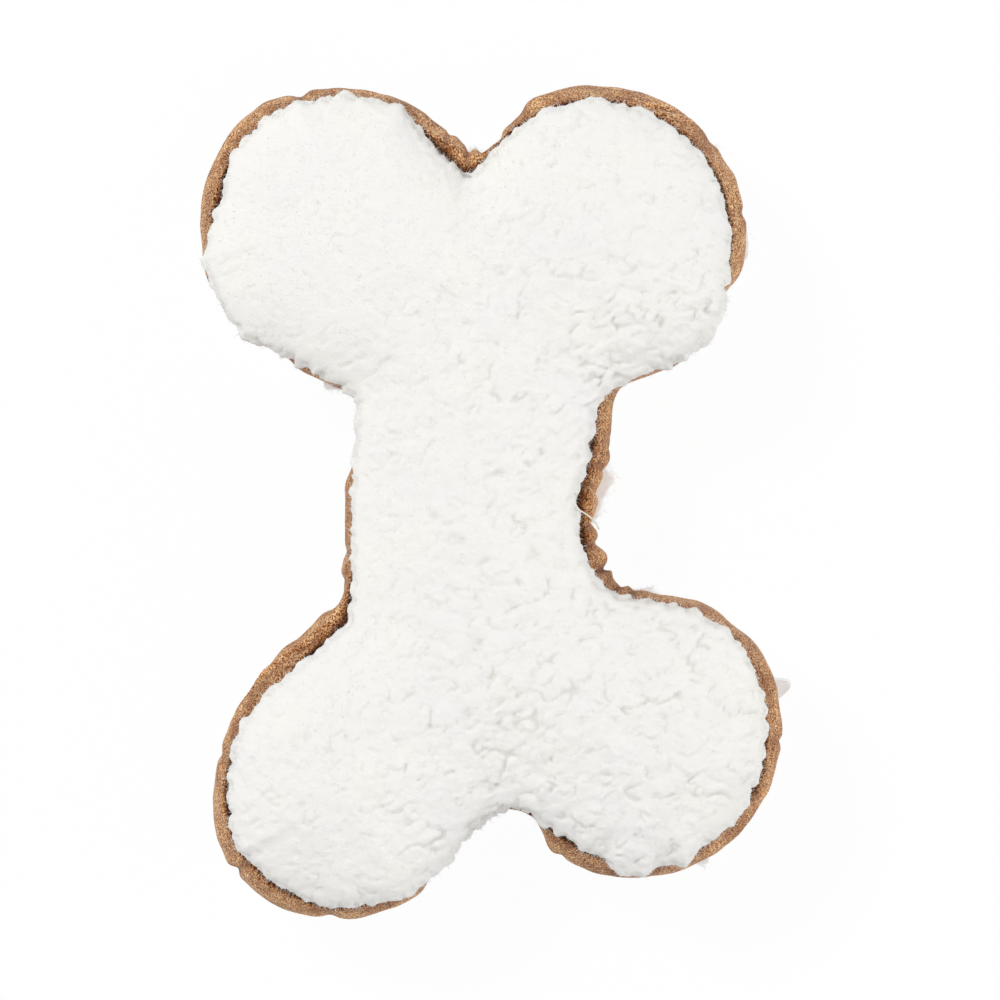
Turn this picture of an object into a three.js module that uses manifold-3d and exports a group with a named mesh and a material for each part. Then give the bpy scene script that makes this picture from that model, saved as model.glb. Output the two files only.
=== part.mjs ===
// A stuffed, squeaking dog toy in the shape of a bone.
// Two fleece panels are sewn to a faux-suede gusset that runs round the edge. The gusset is two strips,
// joined at the top of one lobe and the bottom of another. The bag is packed with fibre, which holds a
// squeaker in the shaft.
// Millimetres, +Z up: the toy lies on its back panel, with its length along Y.
import * as THREE from "three";
import { mergeVertices } from "three/addons/utils/BufferGeometryUtils.js";
import Module from "manifold-3d";

const wasm = await Module();
wasm.setup();

// Driving dimensions: the outline of the seams, seen from the front
const LOBES = {
  upperRight: { x: 31.5, y: 79, radius: 40, neckRadius: 34 },
  lowerRight: { x: 43.5, y: -69.5, radius: 38.5, neckRadius: 21 },
  lowerLeft: { x: -45.5, y: -87, radius: 34, neckRadius: 35.5 },
  upperLeft: { x: -45, y: 81, radius: 38, neckRadius: 37 },
};
const UPPER_FORK = new THREE.Vector2(-0.5, 55);
const LOWER_FORK = new THREE.Vector2(-8, -44.5);
const SHAFT_RADIUS = 34.5;
const UPPER_NOTCH_BLEND = 5;
const LOWER_NOTCH_BLEND = 18;
const CORNER_BLEND = 5;

// Heights
const GUSSET_WIDTH = 36;
const BACK_CROWN = 14;
const LOBE_CROWN = 16;
const SHAFT_CROWN = 13.5;
const FLAT_DEPTH = 0.5;

// Fabrics and seams
const FLEECE_THICKNESS = 6;
const FLEECE_LIP = 2;
const PILE_OVERHANG = 1;
const PILE_EDGE_HEIGHT = 2.6;
const PILE_EDGE_ROUND = 0.5;
const SUEDE_THICKNESS = 1.4;
const SEAM_ALLOWANCE = 7;
const FOLD = 1.6;
const THREAD_DIAMETER = 0.6;
const CLEARANCE = 0.3;
const CLOTH_CLEARANCE = 0.4;
const SEAM_GAP = THREAD_DIAMETER + 2 * CLEARANCE;
const THREAD_INSET = 1.2;
const THREAD_SIDES = 4;
const END_STEP = 0.05;

// How far the stuffing pushes the gusset out past the seams
const LOBE_BULGE = 5;
const CORNER_BULGE = 3.5;
const NOTCH_BULGE = 2.5;
const SHAFT_BULGE = 5;

// The opening that the toy was stuffed through, in the shaft's right side, is closed by hand, which
// gathers the gusset. It reaches to this many steps from the ends of the shaft's side.
const GATHER_COUNT = 3;
const GATHER_DEPTH = 2;
const CLOSING_REACH = 3;
const STITCHES_PER_STEP = 2;

// Where the gusset's two strips are joined, as directions from their lobes' centres
const UPPER_JOIN = { lobe: LOBES.upperLeft, angle: THREE.MathUtils.degToRad(107) };
const LOWER_JOIN = { lobe: LOBES.lowerLeft, angle: THREE.MathUtils.degToRad(267) };

// Squeaker: a blown bulb with a neck in its rim, and a plug with a reed in the neck
const BULB_DIAMETER = 46;
const BULB_THICKNESS = 24;
const BULB_WALL = 1;
const BULB_PLACE = new THREE.Vector2(-3.5, 9);
const NECK_DIAMETER = 13;
const NECK_LENGTH = 6;
const BARREL_DIAMETER = 10;
const BARREL_LENGTH = 10;
const FLANGE_DIAMETER = 14;
const FLANGE_THICKNESS = 1.6;
const AIR_BORE = 5;
const TROUGH_LENGTH = 7;
const GROOVE_WIDTH = 3;
const GROOVE_DEPTH = 2.4;
const POCKET_DEPTH = 5;
const POCKET_DIAMETER = 7.4;
const TROUGH_END_WALL = 1.5;
const REED_THICKNESS = 0.3;
const REED_WIDTH = 5;
const REED_SETBACK = 0.5;
const BULB_FULLNESS = 0.8;

// Steps of the mesh
const NECK_STEPS = 4;
const LOBE_STEPS = 10;
const SHAFT_STEPS = 10;
const OUTER_SHARES = [1, 0.78, 0.54, 0.33, 0.15, 0.04];
const INNER_SHARES = [0.12, 0.34, 0.66, 1];
const WALL_STEPS = 4;
const FILL_WALL_STEPS = 2;
const ROUND_STEPS = 24;
const BULB_STEPS = 10;
const MERGE = 1e-3;
// Past everything, for cutting planes, and past a face, for cuts that go through it
const SPAN = 400;
const THROUGH = 1;

const BACK_SEAM = BACK_CROWN;
const FRONT_SEAM = BACK_SEAM + GUSSET_WIDTH;
const MIDDLE = (BACK_SEAM + FRONT_SEAM) / 2;

// Materials, with the photographed colours
const cloth = (color) => new THREE.MeshStandardMaterial({ color, roughness: 0.95, metalness: 0 });
const plastic = (color) => new THREE.MeshStandardMaterial({ color, roughness: 0.4, metalness: 0 });
const FLEECE = cloth(0xf2f0ec);
const SUEDE = cloth(0xb28763);
const THREAD = cloth(0xe9e2d8);
const FIBRE = cloth(0xf7f7f5);
const BULB_PLASTIC = plastic(0xf0efe8);
const PLUG_PLASTIC = plastic(0xdfe3e6);
const REED_FILM = plastic(0xc9d2d6);

// The outline is a smooth union of five tapered limbs: the shaft, and one from its fork to each lobe.

function limbDistance(point, from, fromRadius, to, toRadius) {
  const axis = to.clone().sub(from);
  const length = axis.length();
  axis.divideScalar(length);
  const offset = point.clone().sub(from);
  const along = offset.dot(axis);
  const across = Math.abs(offset.cross(axis));
  const sine = (fromRadius - toRadius) / length;
  const cosine = Math.sqrt(1 - sine * sine);
  const run = along * cosine - across * sine;
  if (run < 0) return Math.hypot(across, along) - fromRadius;
  if (run > cosine * length) return Math.hypot(across, along - length) - toRadius;
  return across * cosine + along * sine - fromRadius;
}

function smoothLeast(a, b, blend) {
  const overlap = Math.max(blend - Math.abs(a - b), 0) / blend;
  return Math.min(a, b) - (overlap * overlap * blend) / 4;
}

const centreOf = (lobe) => new THREE.Vector2(lobe.x, lobe.y);

/** Distance of a point outside the seam outline, negative inside it. */
function outlineDistance(point) {
  const limb = (lobe, fork) => limbDistance(point, centreOf(lobe), lobe.radius, fork, lobe.neckRadius);
  const upper = smoothLeast(
    limb(LOBES.upperLeft, UPPER_FORK),
    limb(LOBES.upperRight, UPPER_FORK),
    UPPER_NOTCH_BLEND,
  );
  const lower = smoothLeast(
    limb(LOBES.lowerLeft, LOWER_FORK),
    limb(LOBES.lowerRight, LOWER_FORK),
    LOWER_NOTCH_BLEND,
  );
  const shaft = limbDistance(point, UPPER_FORK, SHAFT_RADIUS, LOWER_FORK, SHAFT_RADIUS);
  return smoothLeast(shaft, Math.min(upper, lower), CORNER_BLEND);
}

// Stations go clockwise round the outline. Each is a ray from the spine to the edge. The spine runs along
// the shaft and out to each lobe's centre, so the stations on its two sides end at the same points of it.

/** A ray from the spine, with what the stuffing does there. */
function station(origin, angle, crown, bulge) {
  return { origin, direction: new THREE.Vector2(Math.cos(angle), Math.sin(angle)), angle, crown, bulge };
}

const mix = THREE.MathUtils.lerp;
const angleBetween = (from, to) => Math.atan2(to.y - from.y, to.x - from.x);

/** The same angle, less than half a turn from another. */
function nearTo(angle, other) {
  return angle - 2 * Math.PI * Math.round((angle - other) / (2 * Math.PI));
}

/** The direction half way between those from a fork to two other places. */
function directionBetween(fork, place, other) {
  const first = angleBetween(fork, place);
  return (first + nearTo(angleBetween(fork, other), first)) / 2;
}

/** Stations along one side of a limb or of the shaft, without the last one. */
function side(from, to, steps) {
  return Array.from({ length: steps }, (_, i) => {
    const share = i / steps;
    const ease = share * share * (3 - 2 * share);
    return station(
      from.origin.clone().lerp(to.origin, share),
      mix(from.angle, nearTo(to.angle, from.angle), share),
      mix(from.crown, to.crown, ease),
      mix(from.bulge, to.bulge, ease),
    );
  });
}

/** Stations clockwise round a lobe, from a notch to the shaft's side or from the shaft's side to a notch. */
function lobeStations(lobe, start, end) {
  const centre = centreOf(lobe);
  const limbAngle = angleBetween(start.origin, centre);
  const first = station(centre, limbAngle + Math.PI / 2, LOBE_CROWN, LOBE_BULGE);
  const last = station(centre, limbAngle - Math.PI / 2, LOBE_CROWN, LOBE_BULGE);
  const round = Array.from({ length: LOBE_STEPS }, (_, i) =>
    station(centre, mix(first.angle, last.angle, i / LOBE_STEPS), LOBE_CROWN, LOBE_BULGE),
  );
  return [...side(start, first, NECK_STEPS), ...round, ...side(last, end, NECK_STEPS)];
}

function makeStations() {
  const { upperLeft, upperRight, lowerLeft, lowerRight } = LOBES;
  const between = (fork, place, other, bulge) =>
    station(fork, directionBetween(fork, place, other), SHAFT_CROWN, bulge);
  const notch = (fork, lobe, other) => between(fork, centreOf(lobe), centreOf(other), NOTCH_BULGE);
  const corner = (fork, lobe, other) => between(fork, centreOf(lobe), other, CORNER_BULGE);
  const topNotch = notch(UPPER_FORK, upperLeft, upperRight);
  const bottomNotch = notch(LOWER_FORK, lowerRight, lowerLeft);
  const rightUpper = corner(UPPER_FORK, upperRight, LOWER_FORK);
  const rightLower = corner(LOWER_FORK, lowerRight, UPPER_FORK);
  const leftLower = corner(LOWER_FORK, lowerLeft, UPPER_FORK);
  const leftUpper = corner(UPPER_FORK, upperLeft, LOWER_FORK);
  const rightSide = side(rightUpper, rightLower, SHAFT_STEPS);
  const leftSide = side(leftLower, leftUpper, SHAFT_STEPS);
  rightSide.forEach((each, i) => {
    const share = i / SHAFT_STEPS;
    const swell = Math.sin(Math.PI * share);
    each.bulge = mix(each.bulge, SHAFT_BULGE, swell);
    each.bulge -= GATHER_DEPTH * swell * (1 - Math.cos(2 * Math.PI * GATHER_COUNT * share)) / 2;
  });
  leftSide.forEach((each, i) => {
    each.bulge = mix(each.bulge, SHAFT_BULGE, Math.sin((Math.PI * i) / SHAFT_STEPS));
  });
  return {
    all: [
      ...lobeStations(upperRight, topNotch, rightUpper),
      ...rightSide,
      ...lobeStations(lowerRight, rightLower, bottomNotch),
      ...lobeStations(lowerLeft, bottomNotch, leftLower),
      ...leftSide,
      ...lobeStations(upperLeft, leftUpper, topNotch),
    ],
    rightSide,
  };
}

const ROUND = makeStations();

/** The place on a station's ray that lies a distance outside the seam outline. */
function reach({ origin, direction }, outside) {
  const stride = 2;
  const onRay = (distance) => origin.clone().addScaledVector(direction, distance);
  let far = stride;
  while (outlineDistance(onRay(far)) < outside) far += stride;
  let near = far - stride;
  while (far - near > 1e-4) {
    const half = (near + far) / 2;
    if (outlineDistance(onRay(half)) < outside) near = half;
    else far = half;
  }
  return onRay(near);
}

/** A point of a station, at a distance outside the seam. */
function atEdge(each, outside, z) {
  const { x, y } = reach(each, outside);
  return new THREE.Vector3(x, y, z);
}

/** A point of a station, at a share of the way from a distance outside the seam to the spine. */
function atShare(each, outside, share, z) {
  const { x, y } = reach(each, outside).lerp(each.origin, share);
  return new THREE.Vector3(x, y, z);
}

// Meshes from rings of points

/** A closed mesh from quads between rings, where rings on the spine close by themselves. */
function meshOf(points, faces) {
  const geometry = new THREE.BufferGeometry().setFromPoints(points).setIndex(faces.flat());
  const merged = mergeVertices(geometry, MERGE);
  const index = merged.getIndex().array;
  const kept = [];
  for (let i = 0; i < index.length; i += 3) {
    const [a, b, c] = index.subarray(i, i + 3);
    if (a !== b && b !== c && c !== a) kept.push(a, b, c);
  }
  return merged.setIndex(kept);
}

/** Two triangles of a quad. */
const quad = (a, b, c, d) => [a, b, c, a, c, d];

/** A profile carried all the way round the outline: each entry gives a station's point. */
function sweptRound(profile, stations, profileCloses) {
  const points = profile.flatMap((place) => stations.map(place));
  const count = stations.length;
  const rows = profileCloses ? profile.length : profile.length - 1;
  const faces = [];
  for (let row = 0; row < rows; row++) {
    const next = (row + 1) % profile.length;
    for (let i = 0; i < count; i++) {
      const j = (i + 1) % count;
      faces.push(quad(row * count + i, row * count + j, next * count + j, next * count + i));
    }
  }
  return meshOf(points, faces);
}

/** A closed profile carried through a list of sections, with its two ends closed. */
function sweptAlong(sections, outline) {
  const points = sections.flat();
  const size = outline.length;
  const faces = [];
  for (let i = 0; i + 1 < sections.length; i++) {
    for (let row = 0; row < size; row++) {
      const next = (row + 1) % size;
      const at = i * size;
      faces.push(quad(at + row, at + next, at + size + next, at + size + row));
    }
  }
  const last = (sections.length - 1) * size;
  for (const [a, b, c] of THREE.ShapeUtils.triangulateShape(outline, [])) {
    faces.push([a, c, b], [last + a, last + b, last + c]);
  }
  return meshOf(points, faces);
}

// Booleans

function solidOf(geometry) {
  const bare = geometry.index ? geometry.toNonIndexed() : geometry.clone();
  bare.deleteAttribute("normal");
  bare.deleteAttribute("uv");
  const merged = meshOf(
    Array.from({ length: bare.attributes.position.count }, (_, i) =>
      new THREE.Vector3().fromBufferAttribute(bare.attributes.position, i),
    ),
    [Array.from({ length: bare.attributes.position.count }, (_, i) => i)],
  );
  return new wasm.Manifold(
    new wasm.Mesh({
      numProp: 3,
      vertProperties: new Float32Array(merged.attributes.position.array),
      triVerts: new Uint32Array(merged.index.array),
    }),
  );
}

function geometryOf(solid) {
  const { vertProperties, triVerts, numProp } = solid.getMesh();
  const positions = new THREE.BufferAttribute(new Float32Array(vertProperties), numProp);
  return new THREE.BufferGeometry()
    .setAttribute("position", positions)
    .setIndex(new THREE.BufferAttribute(new Uint32Array(triVerts), 1));
}

/** A box between two corners, as a solid. */
function block(low, high) {
  const size = high.clone().sub(low);
  const middle = low.clone().add(high).multiplyScalar(0.5);
  return solidOf(new THREE.BoxGeometry(size.x, size.y, size.z).translate(middle.x, middle.y, middle.z));
}

/** A round bar along Y between two places, as a solid. */
function bar(diameter, fromY, toY, x, z) {
  const length = toY - fromY;
  const round = new THREE.CylinderGeometry(diameter / 2, diameter / 2, length, ROUND_STEPS);
  return solidOf(round.translate(x, (fromY + toY) / 2, z));
}

// Panels

/** How much of a panel's crown is reached at a share of the way from its edge to the spine. */
const dome = (share) => Math.sqrt(1 - (1 - share) ** 2);

/** Heights above the seam of a fleece panel's two faces, for a crown over the seam. */
const outerHeight = (crown, share) => mix(PILE_EDGE_HEIGHT, crown, dome(share));
const innerHeight = (crown, share) =>
  mix(PILE_EDGE_HEIGHT + CLOTH_CLEARANCE, crown - FLEECE_THICKNESS, dome(share));

/** The inside of a panel starts a fold past the seam allowance, which covers the first share of its way. */
const insideEdge = -SEAM_ALLOWANCE - FOLD;
const atInside = (each, gap, share, z) => {
  const [firstShare] = INNER_SHARES;
  return atShare(each, insideEdge - gap, (share - firstShare) / (1 - firstShare), z);
};

/** A crowned fleece panel with its edge turned in along the seam. place turns a height over the seam to z. */
function panel(crownOf, place) {
  const lipTop = SEAM_GAP / 2 + FLEECE_LIP;
  const edge = (outside, height) => (each) => atEdge(each, outside, place(height));
  return sweptRound(
    [
      ...OUTER_SHARES.map((share) => (each) => {
        return atShare(each, PILE_OVERHANG, share, place(outerHeight(crownOf(each), share)));
      }),
      edge(PILE_OVERHANG, PILE_EDGE_HEIGHT - PILE_EDGE_ROUND),
      edge(0, SEAM_GAP / 2),
      edge(-SEAM_ALLOWANCE, SEAM_GAP / 2),
      edge(-SEAM_ALLOWANCE, lipTop),
      ...INNER_SHARES.map((share) => (each) => {
        return atInside(each, 0, share, place(innerHeight(crownOf(each), share)));
      }),
    ],
    ROUND.all,
    false,
  );
}

const backCrown = () => BACK_CROWN + FLAT_DEPTH;
const frontPlace = (height) => FRONT_SEAM + height;
const backPlace = (height) => Math.max(BACK_SEAM - height, 0);

/** A sweep that was placed upside down, with its faces turned to point out. */
function turned(geometry) {
  const index = geometry.getIndex().array;
  for (let i = 0; i < index.length; i += 3) [index[i + 1], index[i + 2]] = [index[i + 2], index[i + 1]];
  return geometry;
}

// Gusset

const WALL_LOW = BACK_SEAM + SEAM_GAP / 2;
const WALL_HIGH = FRONT_SEAM - SEAM_GAP / 2;

/** How far outside the seam the gusset's outer face stands at a height. */
function wallOutside(bulge, z) {
  const share = (z - MIDDLE) / (WALL_HIGH - MIDDLE);
  return bulge * (1 - share * share);
}

const heights = (from, to, steps) => Array.from({ length: steps + 1 }, (_, i) => mix(from, to, i / steps));

/** The gusset's section as [distance outside, z], both edges turned in. A closed end fills the allowance. */
function gussetSection(bulge, closedEnd) {
  const lip = -SEAM_ALLOWANCE;
  const innerLow = WALL_LOW + SUEDE_THICKNESS;
  const innerHigh = WALL_HIGH - SUEDE_THICKNESS;
  const inner = (z) => (closedEnd ? lip : wallOutside(bulge, z) - SUEDE_THICKNESS);
  return [
    [lip, WALL_LOW],
    ...heights(WALL_LOW, WALL_HIGH, WALL_STEPS).map((z) => [wallOutside(bulge, z), z]),
    [lip, WALL_HIGH],
    [lip, innerHigh],
    ...heights(innerHigh, innerLow, WALL_STEPS).map((z) => [inner(z), z]),
    [lip, innerLow],
  ];
}

/** A station on a lobe's round, at an angle. */
const onLobe = (lobe, angle) => station(centreOf(lobe), angle, LOBE_CROWN, LOBE_BULGE);

/** The angle that a length takes up on a lobe's edge. */
const turnOf = (lobe, length) => length / lobe.radius;

/** One strip of the gusset, clockwise from a join to a join, with its ends turned in. */
function gussetStrip(from, to) {
  const endFace = SEAM_GAP / 2;
  const endBack = endFace + SUEDE_THICKNESS;
  const ends = [endFace, endBack, endBack + END_STEP];
  const opening = ends.map((length) => onLobe(from.lobe, from.angle - turnOf(from.lobe, length)));
  const ending = ends.map((length) => onLobe(to.lobe, to.angle + turnOf(to.lobe, length))).reverse();
  const between = stationsBetween(opening.at(-1), ending[0]);
  const sections = [
    ...opening.map((each, i) => sectionAt(each, i < 2)),
    ...between.map((each) => sectionAt(each, false)),
    ...ending.map((each, i) => sectionAt(each, i > 0)),
  ];
  const outline = gussetSection(LOBE_BULGE, false).map(([outside, z]) => new THREE.Vector2(outside, z));
  return sweptAlong(sections, outline);
}

const sectionAt = (each, closedEnd) =>
  gussetSection(each.bulge, closedEnd).map(([outside, z]) => atEdge(each, outside, z));

/** The stations that lie clockwise between two stations on lobes, clear of both. */
function stationsBetween(from, to) {
  const count = ROUND.all.length;
  const start = stationAfter(from);
  const end = stationAfter(to);
  const found = [];
  for (let i = start; i !== end; i = (i + 1) % count) found.push(ROUND.all[i]);
  return found;
}

/** The place in the round of the first station clockwise past one on a lobe. */
function stationAfter(each) {
  const turnTo = (other) => each.angle - nearTo(other.angle, each.angle);
  const fits = ROUND.all.map((other, i) => ({ i, other, turn: turnTo(other) }));
  const sameLobe = ({ other }) => other.origin.distanceTo(each.origin) < MERGE;
  const past = fits.filter((fit) => sameLobe(fit) && fit.turn > END_STEP / 2);
  return past.reduce((best, fit) => (fit.turn < best.turn ? fit : best)).i;
}

// Seam threads

/** Corners of a thread's section round a place, as [distance outside, z]. */
function threadSection(outside, z) {
  return Array.from({ length: THREAD_SIDES }, (_, i) => {
    const angle = (2 * Math.PI * i) / THREAD_SIDES;
    const radius = THREAD_DIAMETER / 2;
    return [outside + radius * Math.cos(angle), z + radius * Math.sin(angle)];
  });
}

const threadOutline = threadSection(0, 0).map(([x, y]) => new THREE.Vector2(x, y));

/** A line of stitches along some stations, between the two allowances of a seam. */
function seamThread(stations, z, outsideOf) {
  const sections = stations.map((each, i) =>
    threadSection(outsideOf(i), z).map(([outside, height]) => atEdge(each, outside, height)),
  );
  return sweptAlong(sections, threadOutline);
}

/** The stitches that close the machine seam all the way round. */
function seamRing(z) {
  const corners = threadSection(-THREAD_INSET, z);
  return sweptRound(
    corners.map(([outside, height]) => (each) => atEdge(each, outside, height)).reverse(),
    ROUND.all,
    true,
  );
}

const closingStart = ROUND.all.indexOf(ROUND.rightSide[CLOSING_REACH - 1]);
const closingEnd = ROUND.all.indexOf(ROUND.rightSide[SHAFT_STEPS - CLOSING_REACH + 1]);

/** The machine seam of the front panel, from one end of the closed opening round to the other. */
function frontSeamThread() {
  const count = ROUND.all.length;
  const stations = Array.from({ length: count - (closingEnd - closingStart) + 1 }, (_, i) =>
    ROUND.all[(closingEnd + i) % count],
  );
  return seamThread(stations, FRONT_SEAM, () => -THREAD_INSET);
}

/** Hand stitches that zigzag between the allowances along the opening, clear of the machine seam's ends. */
function closingThread() {
  const stations = [];
  for (let i = closingStart; i < closingEnd; i++) {
    const pair = side(ROUND.all[i], ROUND.all[i + 1], STITCHES_PER_STEP);
    stations.push(...(i === closingStart ? pair.slice(1) : pair));
  }
  const deepest = SEAM_ALLOWANCE - 2 * THREAD_DIAMETER;
  return seamThread(stations, FRONT_SEAM, (i) => (i % 2 ? -deepest : -THREAD_INSET));
}

/** The stitches of a join, which run across the gusset between the turned-in ends of its strips. */
function joinThread({ lobe, angle }) {
  const each = onLobe(lobe, angle);
  const along = new THREE.Vector2(-Math.sin(angle), Math.cos(angle));
  const radius = THREAD_DIAMETER / 2;
  const sections = heights(WALL_LOW, WALL_HIGH, WALL_STEPS).map((z) => {
    const middle = reach(each, wallOutside(LOBE_BULGE, z) - THREAD_INSET);
    return Array.from({ length: THREAD_SIDES }, (_, i) => {
      const turn = (2 * Math.PI * i) / THREAD_SIDES;
      const place = middle
        .clone()
        .addScaledVector(each.direction, radius * Math.cos(turn))
        .addScaledVector(along, radius * Math.sin(turn));
      return new THREE.Vector3(place.x, place.y, z);
    });
  });
  return sweptAlong(sections, threadOutline);
}

// Filling: one packed mass, parted into a wad for each lobe and two in the shaft, with the squeaker between

function wholeFilling() {
  const clear = SUEDE_THICKNESS + CLOTH_CLEARANCE;
  const low = WALL_LOW + clear;
  const high = WALL_HIGH - clear;
  const tuck = -SEAM_ALLOWANCE - CLOTH_CLEARANCE;
  const under = (share) => (each) => {
    const height = innerHeight(backCrown(), share) - CLOTH_CLEARANCE;
    return atInside(each, CLOTH_CLEARANCE, share, BACK_SEAM - height);
  };
  const over = (share) => (each) => {
    const height = innerHeight(each.crown, share) - CLOTH_CLEARANCE;
    return atInside(each, CLOTH_CLEARANCE, share, FRONT_SEAM + height);
  };
  const wall = (z) => (each) => atEdge(each, wallOutside(each.bulge, z) - clear, z);
  const tucked = (z) => (each) => atEdge(each, tuck, z);
  return sweptRound(
    [
      ...INNER_SHARES.toReversed().map(over),
      tucked(high),
      ...heights(high, low, FILL_WALL_STEPS).map(wall),
      tucked(low),
      ...INNER_SHARES.map(under),
    ],
    ROUND.all,
    false,
  );
}

/** Room for the turned-in ends of a gusset join. */
function joinPocket({ lobe, angle }) {
  const depth = SEAM_ALLOWANCE + LOBE_BULGE + 2 * CLOTH_CLEARANCE;
  const width = SEAM_GAP + 2 * (SUEDE_THICKNESS + CLOTH_CLEARANCE);
  const edge = reach(onLobe(lobe, angle), LOBE_BULGE);
  const box = new THREE.BoxGeometry(depth, width, GUSSET_WIDTH);
  box.translate(-depth / 2, 0, 0).rotateZ(angle).translate(edge.x, edge.y, MIDDLE);
  return solidOf(box);
}

const bulbRadius = BULB_DIAMETER / 2;
const neckEnd = BULB_PLACE.y - bulbRadius - NECK_LENGTH;

/** A blown bulb's outside, grown by a margin: a flattened ball about Z. */
function bulbForm(margin) {
  const profile = Array.from({ length: BULB_STEPS + 1 }, (_, i) => {
    const angle = mix(-Math.PI / 2, Math.PI / 2, i / BULB_STEPS);
    const onAxis = i === 0 || i === BULB_STEPS;
    return new THREE.Vector2(
      onAxis ? 0 : (bulbRadius + margin) * Math.cos(angle) ** BULB_FULLNESS,
      (BULB_THICKNESS / 2 + margin) * Math.sin(angle),
    );
  });
  const form = new THREE.LatheGeometry(profile, ROUND_STEPS).rotateX(Math.PI / 2);
  return solidOf(form.translate(BULB_PLACE.x, BULB_PLACE.y, MIDDLE));
}

/** A round form along the squeaker's neck, from a depth behind the neck's mouth to another. */
const neckForm = (diameter, from, to) => bar(diameter, neckEnd + from, neckEnd + to, BULB_PLACE.x, MIDDLE);

const neckRoot = NECK_LENGTH + bulbRadius / 2;

const squeakerRoom = () =>
  bulbForm(CLEARANCE).add(
    neckForm(FLANGE_DIAMETER + 2 * CLEARANCE, -FLANGE_THICKNESS - 2 * CLEARANCE, neckRoot),
  );

/** The filling of each place, cut from the whole. */
function fillingWads() {
  const whole = solidOf(wholeFilling())
    .subtract(joinPocket(UPPER_JOIN))
    .subtract(joinPocket(LOWER_JOIN));
  const gap = CLEARANCE / 2;
  const part = (lowX, lowY, lowZ, highX, highY, highZ) =>
    whole.intersect(block(new THREE.Vector3(lowX, lowY, lowZ), new THREE.Vector3(highX, highY, highZ)));
  const { x: topX, y: topY } = UPPER_FORK;
  const { x: bottomX, y: bottomY } = LOWER_FORK;
  const shaft = (lowZ, highZ) =>
    part(-SPAN, bottomY + gap, lowZ, SPAN, topY - gap, highZ).subtract(squeakerRoom());
  return {
    fill_upper_left: part(-SPAN, topY + gap, -SPAN, topX - gap, SPAN, SPAN),
    fill_upper_right: part(topX + gap, topY + gap, -SPAN, SPAN, SPAN, SPAN),
    fill_lower_left: part(-SPAN, -SPAN, -SPAN, bottomX - gap, bottomY - gap, SPAN),
    fill_lower_right: part(bottomX + gap, -SPAN, -SPAN, SPAN, bottomY - gap, SPAN),
    fill_shaft_front: shaft(MIDDLE + gap, SPAN),
    fill_shaft_back: shaft(-SPAN, MIDDLE - gap),
  };
}

// Squeaker

const neckBore = BARREL_DIAMETER + 2 * CLEARANCE;

function squeakerBulb() {
  const outside = bulbForm(0).add(neckForm(NECK_DIAMETER, 0, neckRoot));
  return outside.subtract(bulbForm(-BULB_WALL)).subtract(neckForm(neckBore, -THROUGH, neckRoot));
}

/** A block across the neck, above or below the reed's seat. */
function neckBlock(width, lowZ, highZ, from, to) {
  const half = width / 2;
  return block(
    new THREE.Vector3(BULB_PLACE.x - half, neckEnd + from, MIDDLE + lowZ),
    new THREE.Vector3(BULB_PLACE.x + half, neckEnd + to, MIDDLE + highZ),
  );
}

const flangeFace = -CLEARANCE;
const pocketFloor = BARREL_LENGTH - POCKET_DEPTH;
const troughEnd = BARREL_LENGTH + TROUGH_LENGTH;

/** Flange and barrel, an air bore, a pocket for the reed's clip, and a trough that the reed lies over. */
function squeakerPlug() {
  const mouth = flangeFace - FLANGE_THICKNESS;
  const pocketEnd = BARREL_LENGTH + THROUGH;
  const upperHalf = neckBlock(BARREL_DIAMETER, 0, BARREL_DIAMETER, BARREL_LENGTH, troughEnd + THROUGH);
  const pocket = neckForm(POCKET_DIAMETER, pocketFloor, pocketEnd).intersect(
    neckBlock(BARREL_DIAMETER, 0, BARREL_DIAMETER, pocketFloor, pocketEnd),
  );
  const grooveEnd = troughEnd - TROUGH_END_WALL;
  const groove = neckBlock(GROOVE_WIDTH, -GROOVE_DEPTH, THROUGH, pocketFloor - THROUGH, grooveEnd);
  return neckForm(FLANGE_DIAMETER, mouth, flangeFace)
    .add(neckForm(BARREL_DIAMETER, mouth + FLANGE_THICKNESS / 2, BARREL_LENGTH))
    .add(neckForm(POCKET_DIAMETER, pocketFloor, troughEnd))
    .subtract(upperHalf)
    .subtract(pocket)
    .subtract(neckForm(AIR_BORE, mouth - THROUGH, pocketFloor + THROUGH))
    .subtract(groove);
}

const reedLow = CLEARANCE;
const reedHigh = reedLow + REED_THICKNESS;
const reedRoot = pocketFloor + CLEARANCE;
const reedTip = troughEnd - REED_SETBACK;

const squeakerReed = () => neckBlock(REED_WIDTH, reedLow, reedHigh, reedRoot, reedTip);

/** A half-round wedge that holds the reed's root down in the pocket. */
function reedClip() {
  const clipEnd = BARREL_LENGTH - CLEARANCE;
  return neckForm(POCKET_DIAMETER - 2 * CLEARANCE, reedRoot, clipEnd).intersect(
    neckBlock(POCKET_DIAMETER, reedHigh + CLEARANCE, POCKET_DIAMETER, reedRoot, clipEnd),
  );
}

// Assembly

function named(name, geometry, material) {
  const mesh = new THREE.Mesh(geometry, material);
  mesh.name = name;
  return mesh;
}

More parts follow.
